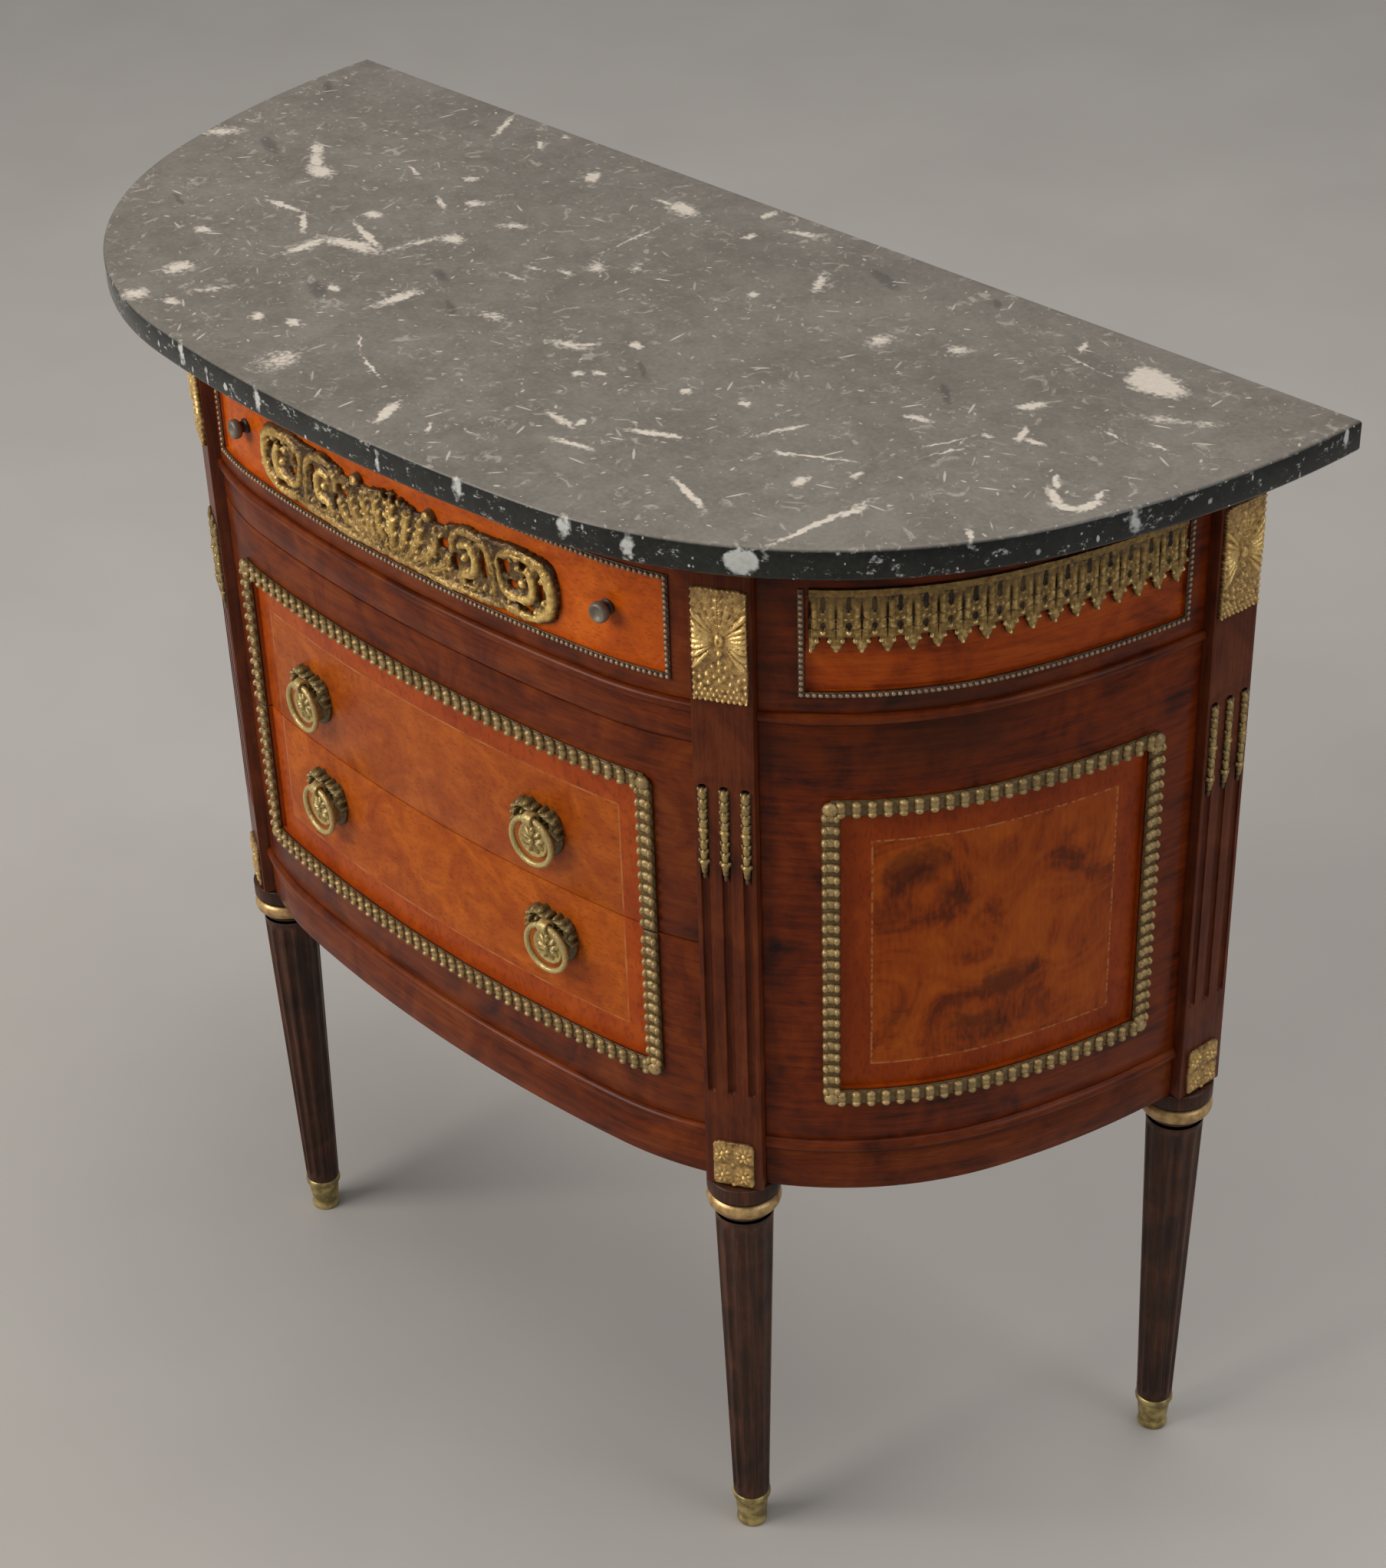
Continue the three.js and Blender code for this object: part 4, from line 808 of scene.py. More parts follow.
def fossil_marble(name, low, high):
    """Charcoal marble with cream shells and streaks; its flat top is duller than its polished edge, and
    painted a lighter grey for its honed face together with a painted sheen of light.

    The shells are those of one stretch of the top, from x = low to x = high."""
    finish = Finish(name, "marble", {"Coat Roughness": 0.12, "Specular IOR Level": 0.3})
    top = finish.z.over(857.5, 859.5)
    cloud = finish.noise(0.012, detail=4, rough=0.6)
    veil = finish.noise(0.06, detail=4, rough=0.65)
    fine = finish.noise(0.3, detail=3)
    grain = finish.noise(1.2, detail=2)
    shade = cloud * 0.35 + veil * 0.3 + fine * 0.25 + grain * 0.1
    edge_tones = [(0.42, (0.002, 0.0025, 0.002)), (0.62, (0.016, 0.019, 0.015))]
    # The top's tones are far lighter than the edge's: a honed face together with a painted sheen of the
    # light on it.
    honed_top_and_sheen_tones = [(0.42, (0.118, 0.102, 0.083)), (0.6, (0.175, 0.155, 0.130))]
    base = finish.mix(top, finish.ramp(shade, edge_tones), finish.ramp(shade, honed_top_and_sheen_tones))
    ripple = finish.noise(0.16, output="Color")
    wander = finish.vector("SCALE", finish.vector("SUBTRACT", ripple, (0.5, 0.5, 0.5)), Scale=7)
    place = finish.vector("ADD", finish.place, wander)
    shells = Marks(finish, place)
    stains = Marks(finish, place)
    for shell in SHELLS:
        if low - 2 * shell[2] < shell[0] < high + 2 * shell[2]:
            shells.add(*shell)
    for *shell, height in EDGE_SHELLS:
        if low - 20 < shell[0] < high + 20:
            shells.add(*shell, z=height, drop=7)
    for stain in STAINS:
        if low - 40 < stain[0] < high + 40:
            stains.add(*stain, 1)
    crumbs = shell_crumbs(finish, fine)
    broken = (veil - 0.5) * 2.2 + (fine - 0.5) * 2.6
    large = (shells.strength + broken).over(0.1, 1.7) * (0.62 + fine * 0.5)
    flecks = finish.noise((0.11, 0.11, 0.16), (31, 7, 2), detail=6, rough=0.75).over(0.575, 0.66)
    flecks = flecks * (1 - top) * 0.6
    ghosts = finish.noise(0.07, (11, 17, 2), detail=5, rough=0.65, bend=1.5).over(0.57, 0.68) * 0.3
    white = large.at_least(crumbs * (1.3 - top * 0.5)).at_least(flecks + ghosts * top).at_most(0.9)
    dark = (stains.strength + broken).over(0.4, 1.6) * 0.45
    colour = finish.mix(dark * top, base, (0.03, 0.028, 0.025))
    shell_white = finish.mix(top, (0.60, 0.60, 0.56), (0.56, 0.49, 0.41))
    finish.set("Base Color", finish.mix(white, colour, shell_white))
    finish.set("Coat Weight", (1 - top) * 0.2)
    finish.set("Roughness", 0.2 + top * 0.18 + fine * 0.08)
    finish.bump(fine + grain * 0.4, 0.04, 0.0003)
    return finish


front_drawers = front_veneer("drawer_front_veneer", FIELD, FRONT_FIELD_RUN, True)
frieze_front = front_veneer("frieze_front_veneer", FRIEZE_FIELD, FRONT_FRIEZE_RUN, False)
side_panels = side_veneer("side_panel_burr", FIELD, SIDE_FIELD_RUN, True)
side_friezes = side_veneer("side_frieze_veneer", FRIEZE_FIELD, SIDE_FRIEZE_RUN, False)
rails = plain_wood("rail_mahogany", "mahogany", LYING, RED, shift=21)
posts = plain_wood("stile_mahogany", "mahogany", UPRIGHT, STILE_RED)
leg_wood = plain_wood(
    "leg_mahogany", "dark_mahogany", UPRIGHT, LEG_BROWN, polish={"Specular IOR Level": 0.25},
)
inner_wood = plain_wood(
    "inner_softwood", "softwood", (0.012, 0.014, 0.2), PALE, laid=False, rough=0.62, polish={},
    mottle=(0.002, 0.003, 0.025),
)
board_wood = plain_wood("board_mahogany", "mahogany", LYING, RED, laid=False, shift=9)
brass_moulding = gilt_brass(
    "moulding_brass", 4.8, (0.06, 0.03, 0.006), (0.15, 0.09, 0.026), (0.47, 0.32, 0.13),
    metallic=0.3, rough=0.46, lumps=0.4,
)
# Painted darker towards its top: tarnish together with painted shade.
brass_mount = gilt_brass(
    "mount_brass", 5.5, (0.055, 0.025, 0.006), (0.50, 0.30, 0.075), (1.0, 0.72, 0.24),
    lumps=0.6, top_tarnish_and_shade=(765, 795),
)
brass_plaque = gilt_brass(
    "plaque_brass", 4.5, (0.10, 0.048, 0.012), (0.55, 0.33, 0.105), (1.0, 0.70, 0.26), lumps=0.45,
)
# Painted darker towards its top: tarnish together with painted shade.
brass_frieze = gilt_brass(
    "lambrequin_brass", 3.9, (0.02, 0.01, 0.004), (0.30, 0.175, 0.04), (1.0, 0.74, 0.32),
    lumps=0.3, top_tarnish_and_shade=(758, 840),
)
brass_beads = gilt_brass(
    "bead_brass", 2.8, (0.03, 0.015, 0.007), (0.18, 0.105, 0.055), (0.44, 0.29, 0.18),
    metallic=0.2, lumps=0.2,
)
brass_fittings = gilt_brass(
    "fitting_brass", 15, (0.09, 0.062, 0.02), (0.34, 0.24, 0.085), (0.55, 0.41, 0.155),
    metallic=0.35, rough=0.38, lumps=0.6,
)
brass_husk = gilt_brass(
    "husk_brass", 4.4, (0.022, 0.012, 0.004), (0.11, 0.065, 0.02), (0.52, 0.35, 0.12), metallic=0.4,
)


def leg_brass(name, middle, high):
    """Plain turned brass, dull and mottled."""
    finish = Finish(name, "brass", {"Metallic": 0.55})
    cloud = finish.noise(0.12, detail=4)
    fine = finish.noise(0.9, detail=2)
    finish.set("Base Color", finish.mix(cloud.over(0.35, 0.65), middle, high))
    finish.set("Roughness", 0.38 + (fine - 0.5) * 0.25)
    finish.bump(fine + cloud, 0.15, 0.0005)
    return finish


brass_collar = leg_brass("collar_brass", (0.34, 0.20, 0.075), (0.62, 0.40, 0.17))
brass_sabot = leg_brass("sabot_brass", (0.20, 0.15, 0.055), (0.48, 0.36, 0.13))
MARBLE_SEAMS = [-480, -160, 60, 290, 480]
marbles = [
    fossil_marble(f"fossil_marble_{stretch}", low, high)
    for stretch, (low, high) in enumerate(zip(MARBLE_SEAMS, MARBLE_SEAMS[1:]))
]


# Marble and wood


def plan_board(bottom, top):
    """Board with the outline of the marble, drawn by turning a point through the three arcs."""
    shape = bmesh.new()
    start, x, y = 0, 0, -sum_of_depths() / 2
    tip = [shape.verts.new((0, y, bottom))]
    for radius, arc in ARCS:
        centre = (x - radius * math.sin(start), y + radius * math.cos(start), 0)
        count = max(10, round(math.degrees(arc) / 1.3))
        drawn = bmesh.ops.spin(shape, geom=tip, cent=centre, axis=(0, 0, 1), angle=arc, steps=count)
        tip = of_kind(drawn["geom_last"], bmesh.types.BMVert)
        x += radius * (math.sin(start + arc) - math.sin(start))
        y += radius * (math.cos(start) - math.cos(start + arc))
        start += arc
    bmesh.ops.mirror(shape, geom=whole(shape), matrix=Matrix.Identity(4), merge_dist=0.01, axis="X")
    bmesh.ops.remove_doubles(shape, verts=shape.verts, dist=0.01)
    ends = [vert for vert in shape.verts if len(vert.link_edges) == 1]
    shape.edges.new(ends)
    bmesh.ops.edgeloop_fill(shape, edges=shape.edges[:])
    drawn = bmesh.ops.extrude_face_region(shape, geom=shape.faces[:])
    upper = of_kind(drawn["geom"], bmesh.types.BMVert)
    bmesh.ops.translate(shape, vec=(0, 0, top - bottom), verts=upper)
    bmesh.ops.recalc_face_normals(shape, faces=shape.faces)
    return shape


def marble_top():
    slab = plan_board(MARBLE_FOOT, MARBLE_TOP)
    rims = [edge for edge in slab.edges if abs(edge.verts[0].co.z - edge.verts[1].co.z) < 0.01]
    round_edges(slab, rims, MARBLE_EASE, 3)
    slice_at(slab, "x", MARBLE_SEAMS[1:-1])
    as_made = onto_seat(Matrix.Identity(4))
    piece = lay(slab, "marble_slab", marbles[0], "carcase", as_made, ["marble_top"], crease=40)
    for finish in marbles[1:]:
        piece.data.materials.append(finish.material)
    for face in piece.data.polygons:
        face.material_index = sum(face.center.x > seam * METRE for seam in MARBLE_SEAMS[1:-1])


def panel(x, z, thickness, field):
    """Curved panel laid flat; a sunk field, where it has one, is an x span, a z span and a depth."""
    ease, border = 0.5, 0.35
    shape = block(x, (0, thickness), z, ease)
    if field:
        (left, right), (low, high), depth = field
        slice_at(shape, "x", [left, left + border, right - border, right])
        edges = [low, low + border, high, high - border]
        slice_at(shape, "z", [height for height in edges if z[0] < height < z[1]])
        middle = border / 2
        for vert in shape.verts:
            within_run = left + middle < vert.co.x < right - middle
            within_height = low + middle < vert.co.z < high - middle
            if within_run and within_height and vert.co.y < ease + 0.1:
                vert.co.y += depth
    slice_at(shape, "x", steps(*x, BEND_PITCH)[1:-1])
    return shape


def front_piece(name, z, thickness, finish, body, node, field=None, gap=SEAM):
    reach = FRONT_RUN + LAP
    shape = panel((-reach, reach), z, thickness, field)
    lay(shape, name, finish, body, replace=[node], trims=seams("front", gap))


def side_piece(side, part, z, finish, field=None):
    shape = panel((SIDE_START - LAP, SIDE_END + LAP), z, FRONT_DEPTH, field)
    name, node = f"{part}_{side}_veneered", f"side_{part}_{side}"
    lay(handed(shape, side), name, finish, replace=[node], trims=seams(side))


# How far the fillets stand out from the fronts and panels, and reach in between them.
NOSE_REACH, NOSE_DEPTH = 3.3, 6


def fillet(level, part, foot, head):
    """Rounded edge of a board, which shows between the panels above and below it."""
    start, end = (-FRONT_RUN, FRONT_RUN) if part == "front" else (SIDE_START, SIDE_END)
    x = (start - LAP, end + LAP)
    nose = block(x, (-NOSE_REACH, NOSE_DEPTH), (foot - 0.2, head + 0.2))
    edges = [
        edge for edge in nose.edges
        if all(vert.co.y < 0 for vert in edge.verts) and abs(edge.verts[0].co.x - edge.verts[1].co.x) > 1
    ]
    round_edges(nose, edges, (head - foot) * 0.48, 5)
    slice_at(nose, "x", steps(*x, BEND_PITCH)[1:-1])
    lay(handed(nose, part), f"fillet_{level}_{part}", rails, trims=seams(part))


def wooden_body():
    rail, apron = (RAIL_FOOT, DUST_FOOT - SEAM), (STILE_FOOT, APRON_TOP - SEAM)
    front_piece("front_rail_veneered", rail, RAIL_DEPTH, rails, "carcase", "front_rail")
    front_piece("front_apron_veneered", apron, RAIL_DEPTH, rails, "carcase", "front_apron")
    frieze = (SIDE_FRIEZE_RUN, FRIEZE_FIELD, FRIEZE_DEPTH)
    centre = (SIDE_FIELD_RUN, FIELD, FIELD_DEPTH)
    for side in SIDES:
        side_piece(side, "frieze", (DUST_TOP + SEAM, STILE_TOP), side_friezes, frieze)
        side_piece(side, "panel", (BOARD_TOP + SEAM, DUST_FOOT - SEAM), side_panels, centre)
        side_piece(side, "apron", apron, rails)
    for level, foot, head in (("lower", APRON_TOP, BOARD_TOP), ("upper", DUST_FOOT, DUST_TOP)):
        for part in ("front", *SIDES):
            fillet(level, part, foot, head)


def drawer_front(drawer, z, finish, run, heights, depth):
    field = ((-run, run), heights, depth)
    front_piece(
        f"{drawer}_veneered", z, FRONT_DEPTH, finish, drawer, f"{drawer}_front", field, CLEARANCE,
    )


def drawer_fronts():
    """The two deep fronts meet in the middle of one field, so theirs run past each other there."""
    gap, past = CLEARANCE / 2, 9
    z = (DUST_TOP + CLEARANCE, STILE_TOP - CLEARANCE)
    drawer_front("frieze_drawer", z, frieze_front, FRONT_FRIEZE_RUN, FRIEZE_FIELD, FRIEZE_DEPTH)
    z = (SPLIT + gap, RAIL_FOOT - CLEARANCE)
    drawer_front("upper_drawer", z, front_drawers, FRONT_FIELD_RUN, (SPLIT - past, FIELD[1]), FIELD_DEPTH)
    z = (BOARD_TOP + CLEARANCE, SPLIT - gap)
    drawer_front("lower_drawer", z, front_drawers, FRONT_FIELD_RUN, (FIELD[0], SPLIT + past), FIELD_DEPTH)


FLUTE_FOOT, FLUTE_HEAD, FLUTE_RADIUS = 415, 660, 3
# Where the three flutes of a stile lie across it.
FLUTES = (-14, 0, 14)


def stile(name, turn):
    half = STILE_WIDTH / 2
    shape = block((-half, half), (0, STILE_DEPTH), (STILE_FOOT, STILE_TOP), 0.6)
    across = [FLUTE_RADIUS * math.cos(math.pi * step / 10) for step in range(11)]
    slice_at(shape, "x", [flute + x for flute in FLUTES for x in across])
    low, high = FLUTE_FOOT + FLUTE_RADIUS, FLUTE_HEAD - FLUTE_RADIUS
    ends = [FLUTE_RADIUS * math.cos(math.pi / 2 * step / 5) for step in range(6)]
    slice_at(shape, "z", [low - end for end in ends] + [high + end for end in ends])
    for vert in shape.verts:
        if vert.co.y < 0.05:
            dx = min(abs(vert.co.x - flute) for flute in FLUTES)
            dz = max(0, low - vert.co.z, vert.co.z - high)
            vert.co.y += math.sqrt(max(0, FLUTE_RADIUS ** 2 - dx ** 2 - dz ** 2))
    place = onto_seat(seat(turn, STILE_FACE))
    lay(shape, f"stile_{name}_fluted", posts, "carcase", place, [f"stile_{name}"])


# Shaft of a leg: its lower and upper end, their radii, and the flutes round it.
LEG_FOOT, LEG_HEAD = 31.3, 309.2
SHAFT_FOOT, SHAFT_HEAD = 13.3, 20.7
LEG_FLUTES, LEG_FLUTE_DEPTH, LEG_FLUTE_END = 12, 1.9, 6


def leg_ring(radius, height, sunk=0):
    """Ring of a leg, its flutes sunk by a share of their depth."""
    def place(angle):
        share = (angle / math.tau * LEG_FLUTES) % 1
        hollow = math.sin(math.pi * (share - 0.14) / 0.72) ** 0.7 if 0.14 < share < 0.86 else 0
        reach = radius - LEG_FLUTE_DEPTH * sunk * hollow
        return Vector((reach * math.cos(angle), reach * math.sin(angle), height))
    return place


def shaft_ring(height, sunk):
    share = (height - LEG_FOOT) / (LEG_HEAD - LEG_FOOT)
    return leg_ring(SHAFT_FOOT + (SHAFT_HEAD - SHAFT_FOOT) * share, height, sunk)


def fluted_leg(name, turn):
    """Turned leg: disc, neck for the collar and a tapering shaft with twelve flutes."""
    rings = [leg_ring(9, 6), leg_ring(9, LEG_FOOT), leg_ring(13.2, LEG_FOOT)]
    low, high, end = LEG_FOOT + 6, LEG_HEAD - 9, LEG_FLUTE_END
    for step in range(end + 1):
        rings.append(shaft_ring(low + step, math.sin(math.pi / 2 * step / end)))
    for step in range(1, 12):
        rings.append(shaft_ring(low + end + (high - low - 2 * end) * step / 12, 1))
    for step in range(end + 1):
        rings.append(shaft_ring(high - end + step, math.cos(math.pi / 2 * step / end)))
    rings += [leg_ring(radius, height) for radius, height in (
        (20.5, LEG_HEAD - 3), (20.7, LEG_HEAD - 0.6), (20.3, LEG_HEAD), (18.9, LEG_HEAD + 0.2),
        (18.9, 322), (23.4, 322.2), (24.8, 322.9), (25.5, 324.6), (25.5, 335.4), (25.1, 336.4),
        (24.4, 336.7),
    )]
    place = onto_seat(seat(turn, STILE_FACE + STILE_DEPTH / 2))
    lay(sweep(rings, 96), f"leg_{name}_fluted", leg_wood, "carcase", place, [f"leg_{name}"], crease=42)


def leg_brasses(name, turn):
    place = onto_seat(seat(turn, STILE_FACE + STILE_DEPTH / 2))
    foot, head, bore = 309.6, 321.8, 19.4
    bulge = [
        (21.4 + 4.6 * math.sin(angle), 315.75 - 6.1 * math.cos(angle))
        for angle in (math.radians(step) for step in range(15, 166, 15))
    ]
    profile = [(bore, foot), *bulge, (bore, head), (bore, foot)]
    lay(lathe(profile, 64, "Z"), f"collar_{name}", brass_collar, "carcase", place, [f"leg_collar_{name}"])
    sabot = lathe([
        (0, 0), (9.6, 0), (10.9, 0.8), (11.3, 2.4), (11, 4.4), (10.2, 5.6), (10, 7), (10.6, 8.2),
        (11.2, 12), (11.8, 18), (12.1, 23), (12, 24.4), (13, 25.2), (14, 26.6), (14.2, 28.6),
        (13.8, 30.2), (12.9, 31), (9.7, 31), (9.7, 6.6), (0, 6.6),
    ], 64, "Z")
    lay(sabot, f"sabot_{name}_turned", brass_sabot, "carcase", place, [f"sabot_{name}"])


# Brass on the stiles

# Share of the way out, half width and height of each ray of a plaque.
RAY = ((0.22, 0.8, 2.6), (0.5, 1.6, 4.0), (0.8, 2.1, 4.6), (0.97, 1.7, 3.4))


def plaque_casting():
    """Leaves fan out from the middle of a plate, with a feathered top and strings of beads below."""
    x, foot, head, middle = 18.5, 722, 802, 766
    cast = Casting((-x, x), (foot, head), 0.7, mirrored=True)
    cast.plate(0, (foot + head) / 2, x, (head - foot) / 2, 2.0, power=12)
    for degrees in range(-50, 62, 14):
        tilt = math.radians(degrees)
        dx, dz = math.cos(tilt), math.sin(tilt)
        far = min(17.4 / dx, 27)
        cast.ridge([
            (dx * far * share, middle + dz * far * share, width, height)
            for share, width, height in RAY
        ], 14)
    for lean, height in ((0, 3.6), (0.26, 3.2), (0.5, 3.0)):
        dx, dz = math.sin(lean), math.cos(lean)
        cast.acanthus([
            (dx * reach, middle + dz * reach, width, tall)
            for reach, width, tall in ((4, 1.0, 2.8), (13, 2.2, height), (24, 2.8, height), (33, 1.8, 2.6))
        ], 18)
    cast.dome(0, middle, 3.4, 5, 5.0)
    cast.groove(0, middle, 0.8, 3, 1.2)
    for across, z, size, height in (
        (0, 757, 2.2, 4.2), (0, 750.5, 1.8, 4), (0, 745, 1.5, 3.6), (4.2, 747.5, 1.7, 3.6),
        (3.4, 740.5, 1.6, 3.6), (8.2, 742, 1.9, 3.6), (0, 738, 2.0, 4), (12.4, 739, 1.9, 3.6),
        (7, 736, 1.9, 3.8), (16.2, 741, 1.6, 3.4), (16, 735, 1.7, 3.4), (11.6, 733.6, 1.8, 3.6),
    ):
        cast.dome(across, z, size, size, height)
    for z, offset in ((731, 1.8), (727.2, 0), (723.8, 1.8)):
        for step in range(5):
            cast.dome(offset + 3.7 * step, z, 1.75, 1.6, 3.4)
    for step in range(16):
        cast.dome(17.2, foot + 4 + 4.9 * step, 1.5, 2.1, 3.0)
    for step in range(6):
        cast.dome(3.4 * step, 800.4, 1.7, 1.3, 2.8)
    return cast.shape(0.5)


def rosette_casting():
    """Two by two leafed squares."""
    x, foot, head = 15.2, 338, 376
    cast = Casting((-x, x), (foot, head), 0.7, mirrored=True)
    middle = (foot + head) / 2
    cast.plate(0, middle, x, (head - foot) / 2, 1.7, power=9)
    for level in (-1, 1):
        across, z = 7.5, middle + level * 9.2
        cast.plate(across, z, 7, 8.6, 2.2, power=8)
        for step in range(8):
            tilt = math.tau * (step + 0.5) / 8
            cast.dome(across + 3.9 * math.cos(tilt), z + 4.6 * math.sin(tilt), 3.0, 1.5, 3.4, tilt)
        cast.dome(across, z, 1.9, 1.9, 4.2)
    cast.dome(0, middle, 2, 2.2, 3)
    cast.dome(0, foot + 2, 2.2, 1.6, 3)
    return cast.shape(0.4)


def chandelle():
    """Stack of husks that fills the upper part of a flute."""
    parts = []
    for step in range(8):
        z = 653 - 7.6 * step
        width = 3.5 - 0.12 * step
        parts.append(bead(0, z, width, -0.6, tall=5.4, rise=3.2, sides=8, rows=6))
        parts += [
            bead(side * 1.9, z + 2.6, 1.5, -0.2, tall=3.2, tilt=side * 0.5, rise=2.4, sides=6, rows=4)
            for side in (-1, 1)
        ]
    parts += [bead(0, 626.5, 3.7, 0.3, tall=2.2, rise=3.2), bead(0, 602, 3.6, 0.2, tall=2.4, rise=3.0)]
    parts += [bead(side * 2.9, 603, 1.6, 0.3, rise=2) for side in (-1, 1)]
    parts += [bead(0, 596, 2.4, -0.4, tall=4.2, rise=2.6), bead(0, 591, 1.5, -0.4, tall=3, rise=2)]
    return assemble(*parts)


def stile_brasses(name, turn):
    place = onto_seat(seat(turn, STILE_FACE - 0.1))
    plate = plaque_casting()
    lay(plate, f"plaque_{name}", brass_plaque, "carcase", place, [f"stile_plaque_{name}"], crease=75)
    lay(rosette_casting(), f"rosette_{name}", brass_plaque, "carcase", place, crease=75)
    for flute, letter in zip(FLUTES, "abc"):
        place = onto_seat(seat(turn, STILE_FACE) @ Matrix.Translation((flute, 1.2, 0)))
        lay(chandelle(), f"chandelle_{name}_{letter}", brass_husk, "carcase", place, crease=60)


# Brass frames

# Length and width of one turn of the ribbon, and the outer edges of the framed rectangles.
RIBBON_PITCH, RIBBON_WIDTH = 9.5, 12
RIBBON_FOOT, RIBBON_HEAD = 411, 652
FRONT_RIBBON_RUN, SIDE_RIBBON_RUN = 213.5, (324, 562)


def ribbon_unit():
    """One turn of the ribbon across the rod of a moulding: a long bead with a prouder one at each end."""
    return assemble(
        bead(0, 0, 1, 0.3, tall=5.7, wide=3.5, rise=2.9, rows=6),
        *(bead(0, z, 1, 0.6, tall=2.3, wide=3.2, rise=3.6) for z in (-3.7, 3.7)),
    )


def ribbon_bar(start, end):
    """Bar of ribbon moulding along x, its middle at z = 0: a rod on a strip with a ribbon round it."""
    inset = 1.5
    count = max(2, round((end - start - 2 * inset) / RIBBON_PITCH))
    pitch = (end - start - 2 * inset) / count
    half = RIBBON_WIDTH / 2 - 0.3
    strip = block((start, end), (-1.6, 0), (-half, half), 0.5)
    rod = block((start, end), (-2.4, 0), (-4.9, 4.9), 1.2)
    for bar in (strip, rod):
        slice_at(bar, "x", steps(start, end, pitch)[1:-1])
    units = row(moved(ribbon_unit(), start + inset + pitch / 2), count - 1, dx=pitch)
    return assemble(strip, rod, units)


def upright(shape):
    """Turns a bar that runs along x so that it runs up."""
    return turned(shape, -math.pi / 2, "Y")


def corner(x, z):
    return bead(x, z, 1, 0.6, tall=5.4, wide=5.4, rise=3.6, sides=10, rows=6)


def ribbon_frame(shapes, name, body, node):
    lay(moved(assemble(*shapes), y=-0.2), name, brass_moulding, body, replace=[node], crease=60)


def front_moulding():
    """Each deep drawer carries its half of the frame."""
    half, gap = RIBBON_WIDTH / 2, 0.6
    run, low, high = FRONT_RIBBON_RUN - half, RIBBON_FOOT + half, RIBBON_HEAD - half
    for drawer, level, ends in (
        ("upper_drawer", high, (SPLIT + gap, high)), ("lower_drawer", low, (low, SPLIT - gap)),
    ):
        parts = [moved(ribbon_bar(-run, run), z=level)]
        for x in (-run, run):
            parts += [moved(upright(ribbon_bar(*ends)), x=x), corner(x, level)]
        ribbon_frame(parts, f"{drawer}_ribbon_moulding", drawer, f"{drawer}_moulding")


def side_moulding(side):
    half = RIBBON_WIDTH / 2
    runs = (SIDE_RIBBON_RUN[0] + half, SIDE_RIBBON_RUN[1] - half)
    levels = (RIBBON_FOOT + half, RIBBON_HEAD - half)
    parts = [moved(ribbon_bar(*runs), z=level) for level in levels]
    parts += [moved(upright(ribbon_bar(*levels)), x=run) for run in runs]
    parts += [corner(run, level) for run in runs for level in levels]
    shape = handed(assemble(*parts), side)
    ribbon_frame([shape], f"side_{side}_ribbon_moulding", "carcase", f"side_moulding_{side}")


def beaded_frame(x, z, levels):
    """Thin strip with a row of beads up both ends of a rectangle and along it at the given levels."""
    pitch, half, thickness, size = 4, 1.9, 1, 1.75
    parts = []
    for level in levels:
        strip = block((x[0] - 2, x[1] + 2), (-thickness, 0), (level - half, level + half), 0.3)
        slice_at(strip, "x", steps(*x, BEND_PITCH)[1:-1])
        count = round((x[1] - x[0]) / pitch)
        beads = row(bead(x[0], level, size, 0.2, sides=7, rows=4), count, dx=(x[1] - x[0]) / count)
        parts += [strip, beads]
    for run in x:
        count = round((z[1] - z[0]) / pitch)
        gap = (z[1] - z[0]) / count
        parts += [
            block((run - half, run + half), (-thickness, 0), z, 0.3),
            row(bead(run, z[0] + gap, size, 0.2, sides=7, rows=4), count - 2, dz=gap),
        ]
    return assemble(*parts)


def bead_frames():
    levels, run = (FRIEZE_FIELD[0] - 2, FRIEZE_FIELD[1] + 2), FRONT_FRIEZE_RUN + 2
    shape = moved(beaded_frame((-run, run), levels, levels), y=-0.1)
    lay(shape, "frieze_drawer_bead_frame", brass_beads, "frieze_drawer", crease=60)
    foot, head = FRIEZE_FIELD[0] - 2.5, 801
    for side in SIDES:
        shape = beaded_frame((SIDE_FRIEZE_RUN[0] - 2.4, SIDE_FRIEZE_RUN[1] + 1.5), (foot, head), [foot])
        shape = moved(handed(shape, side), y=-0.1)
        lay(shape, f"side_{side}_bead_frame", brass_beads, crease=60)


# Lambrequin of the sides

PENDANT_PITCH, PENDANT_INSET = 15.35, 1.2


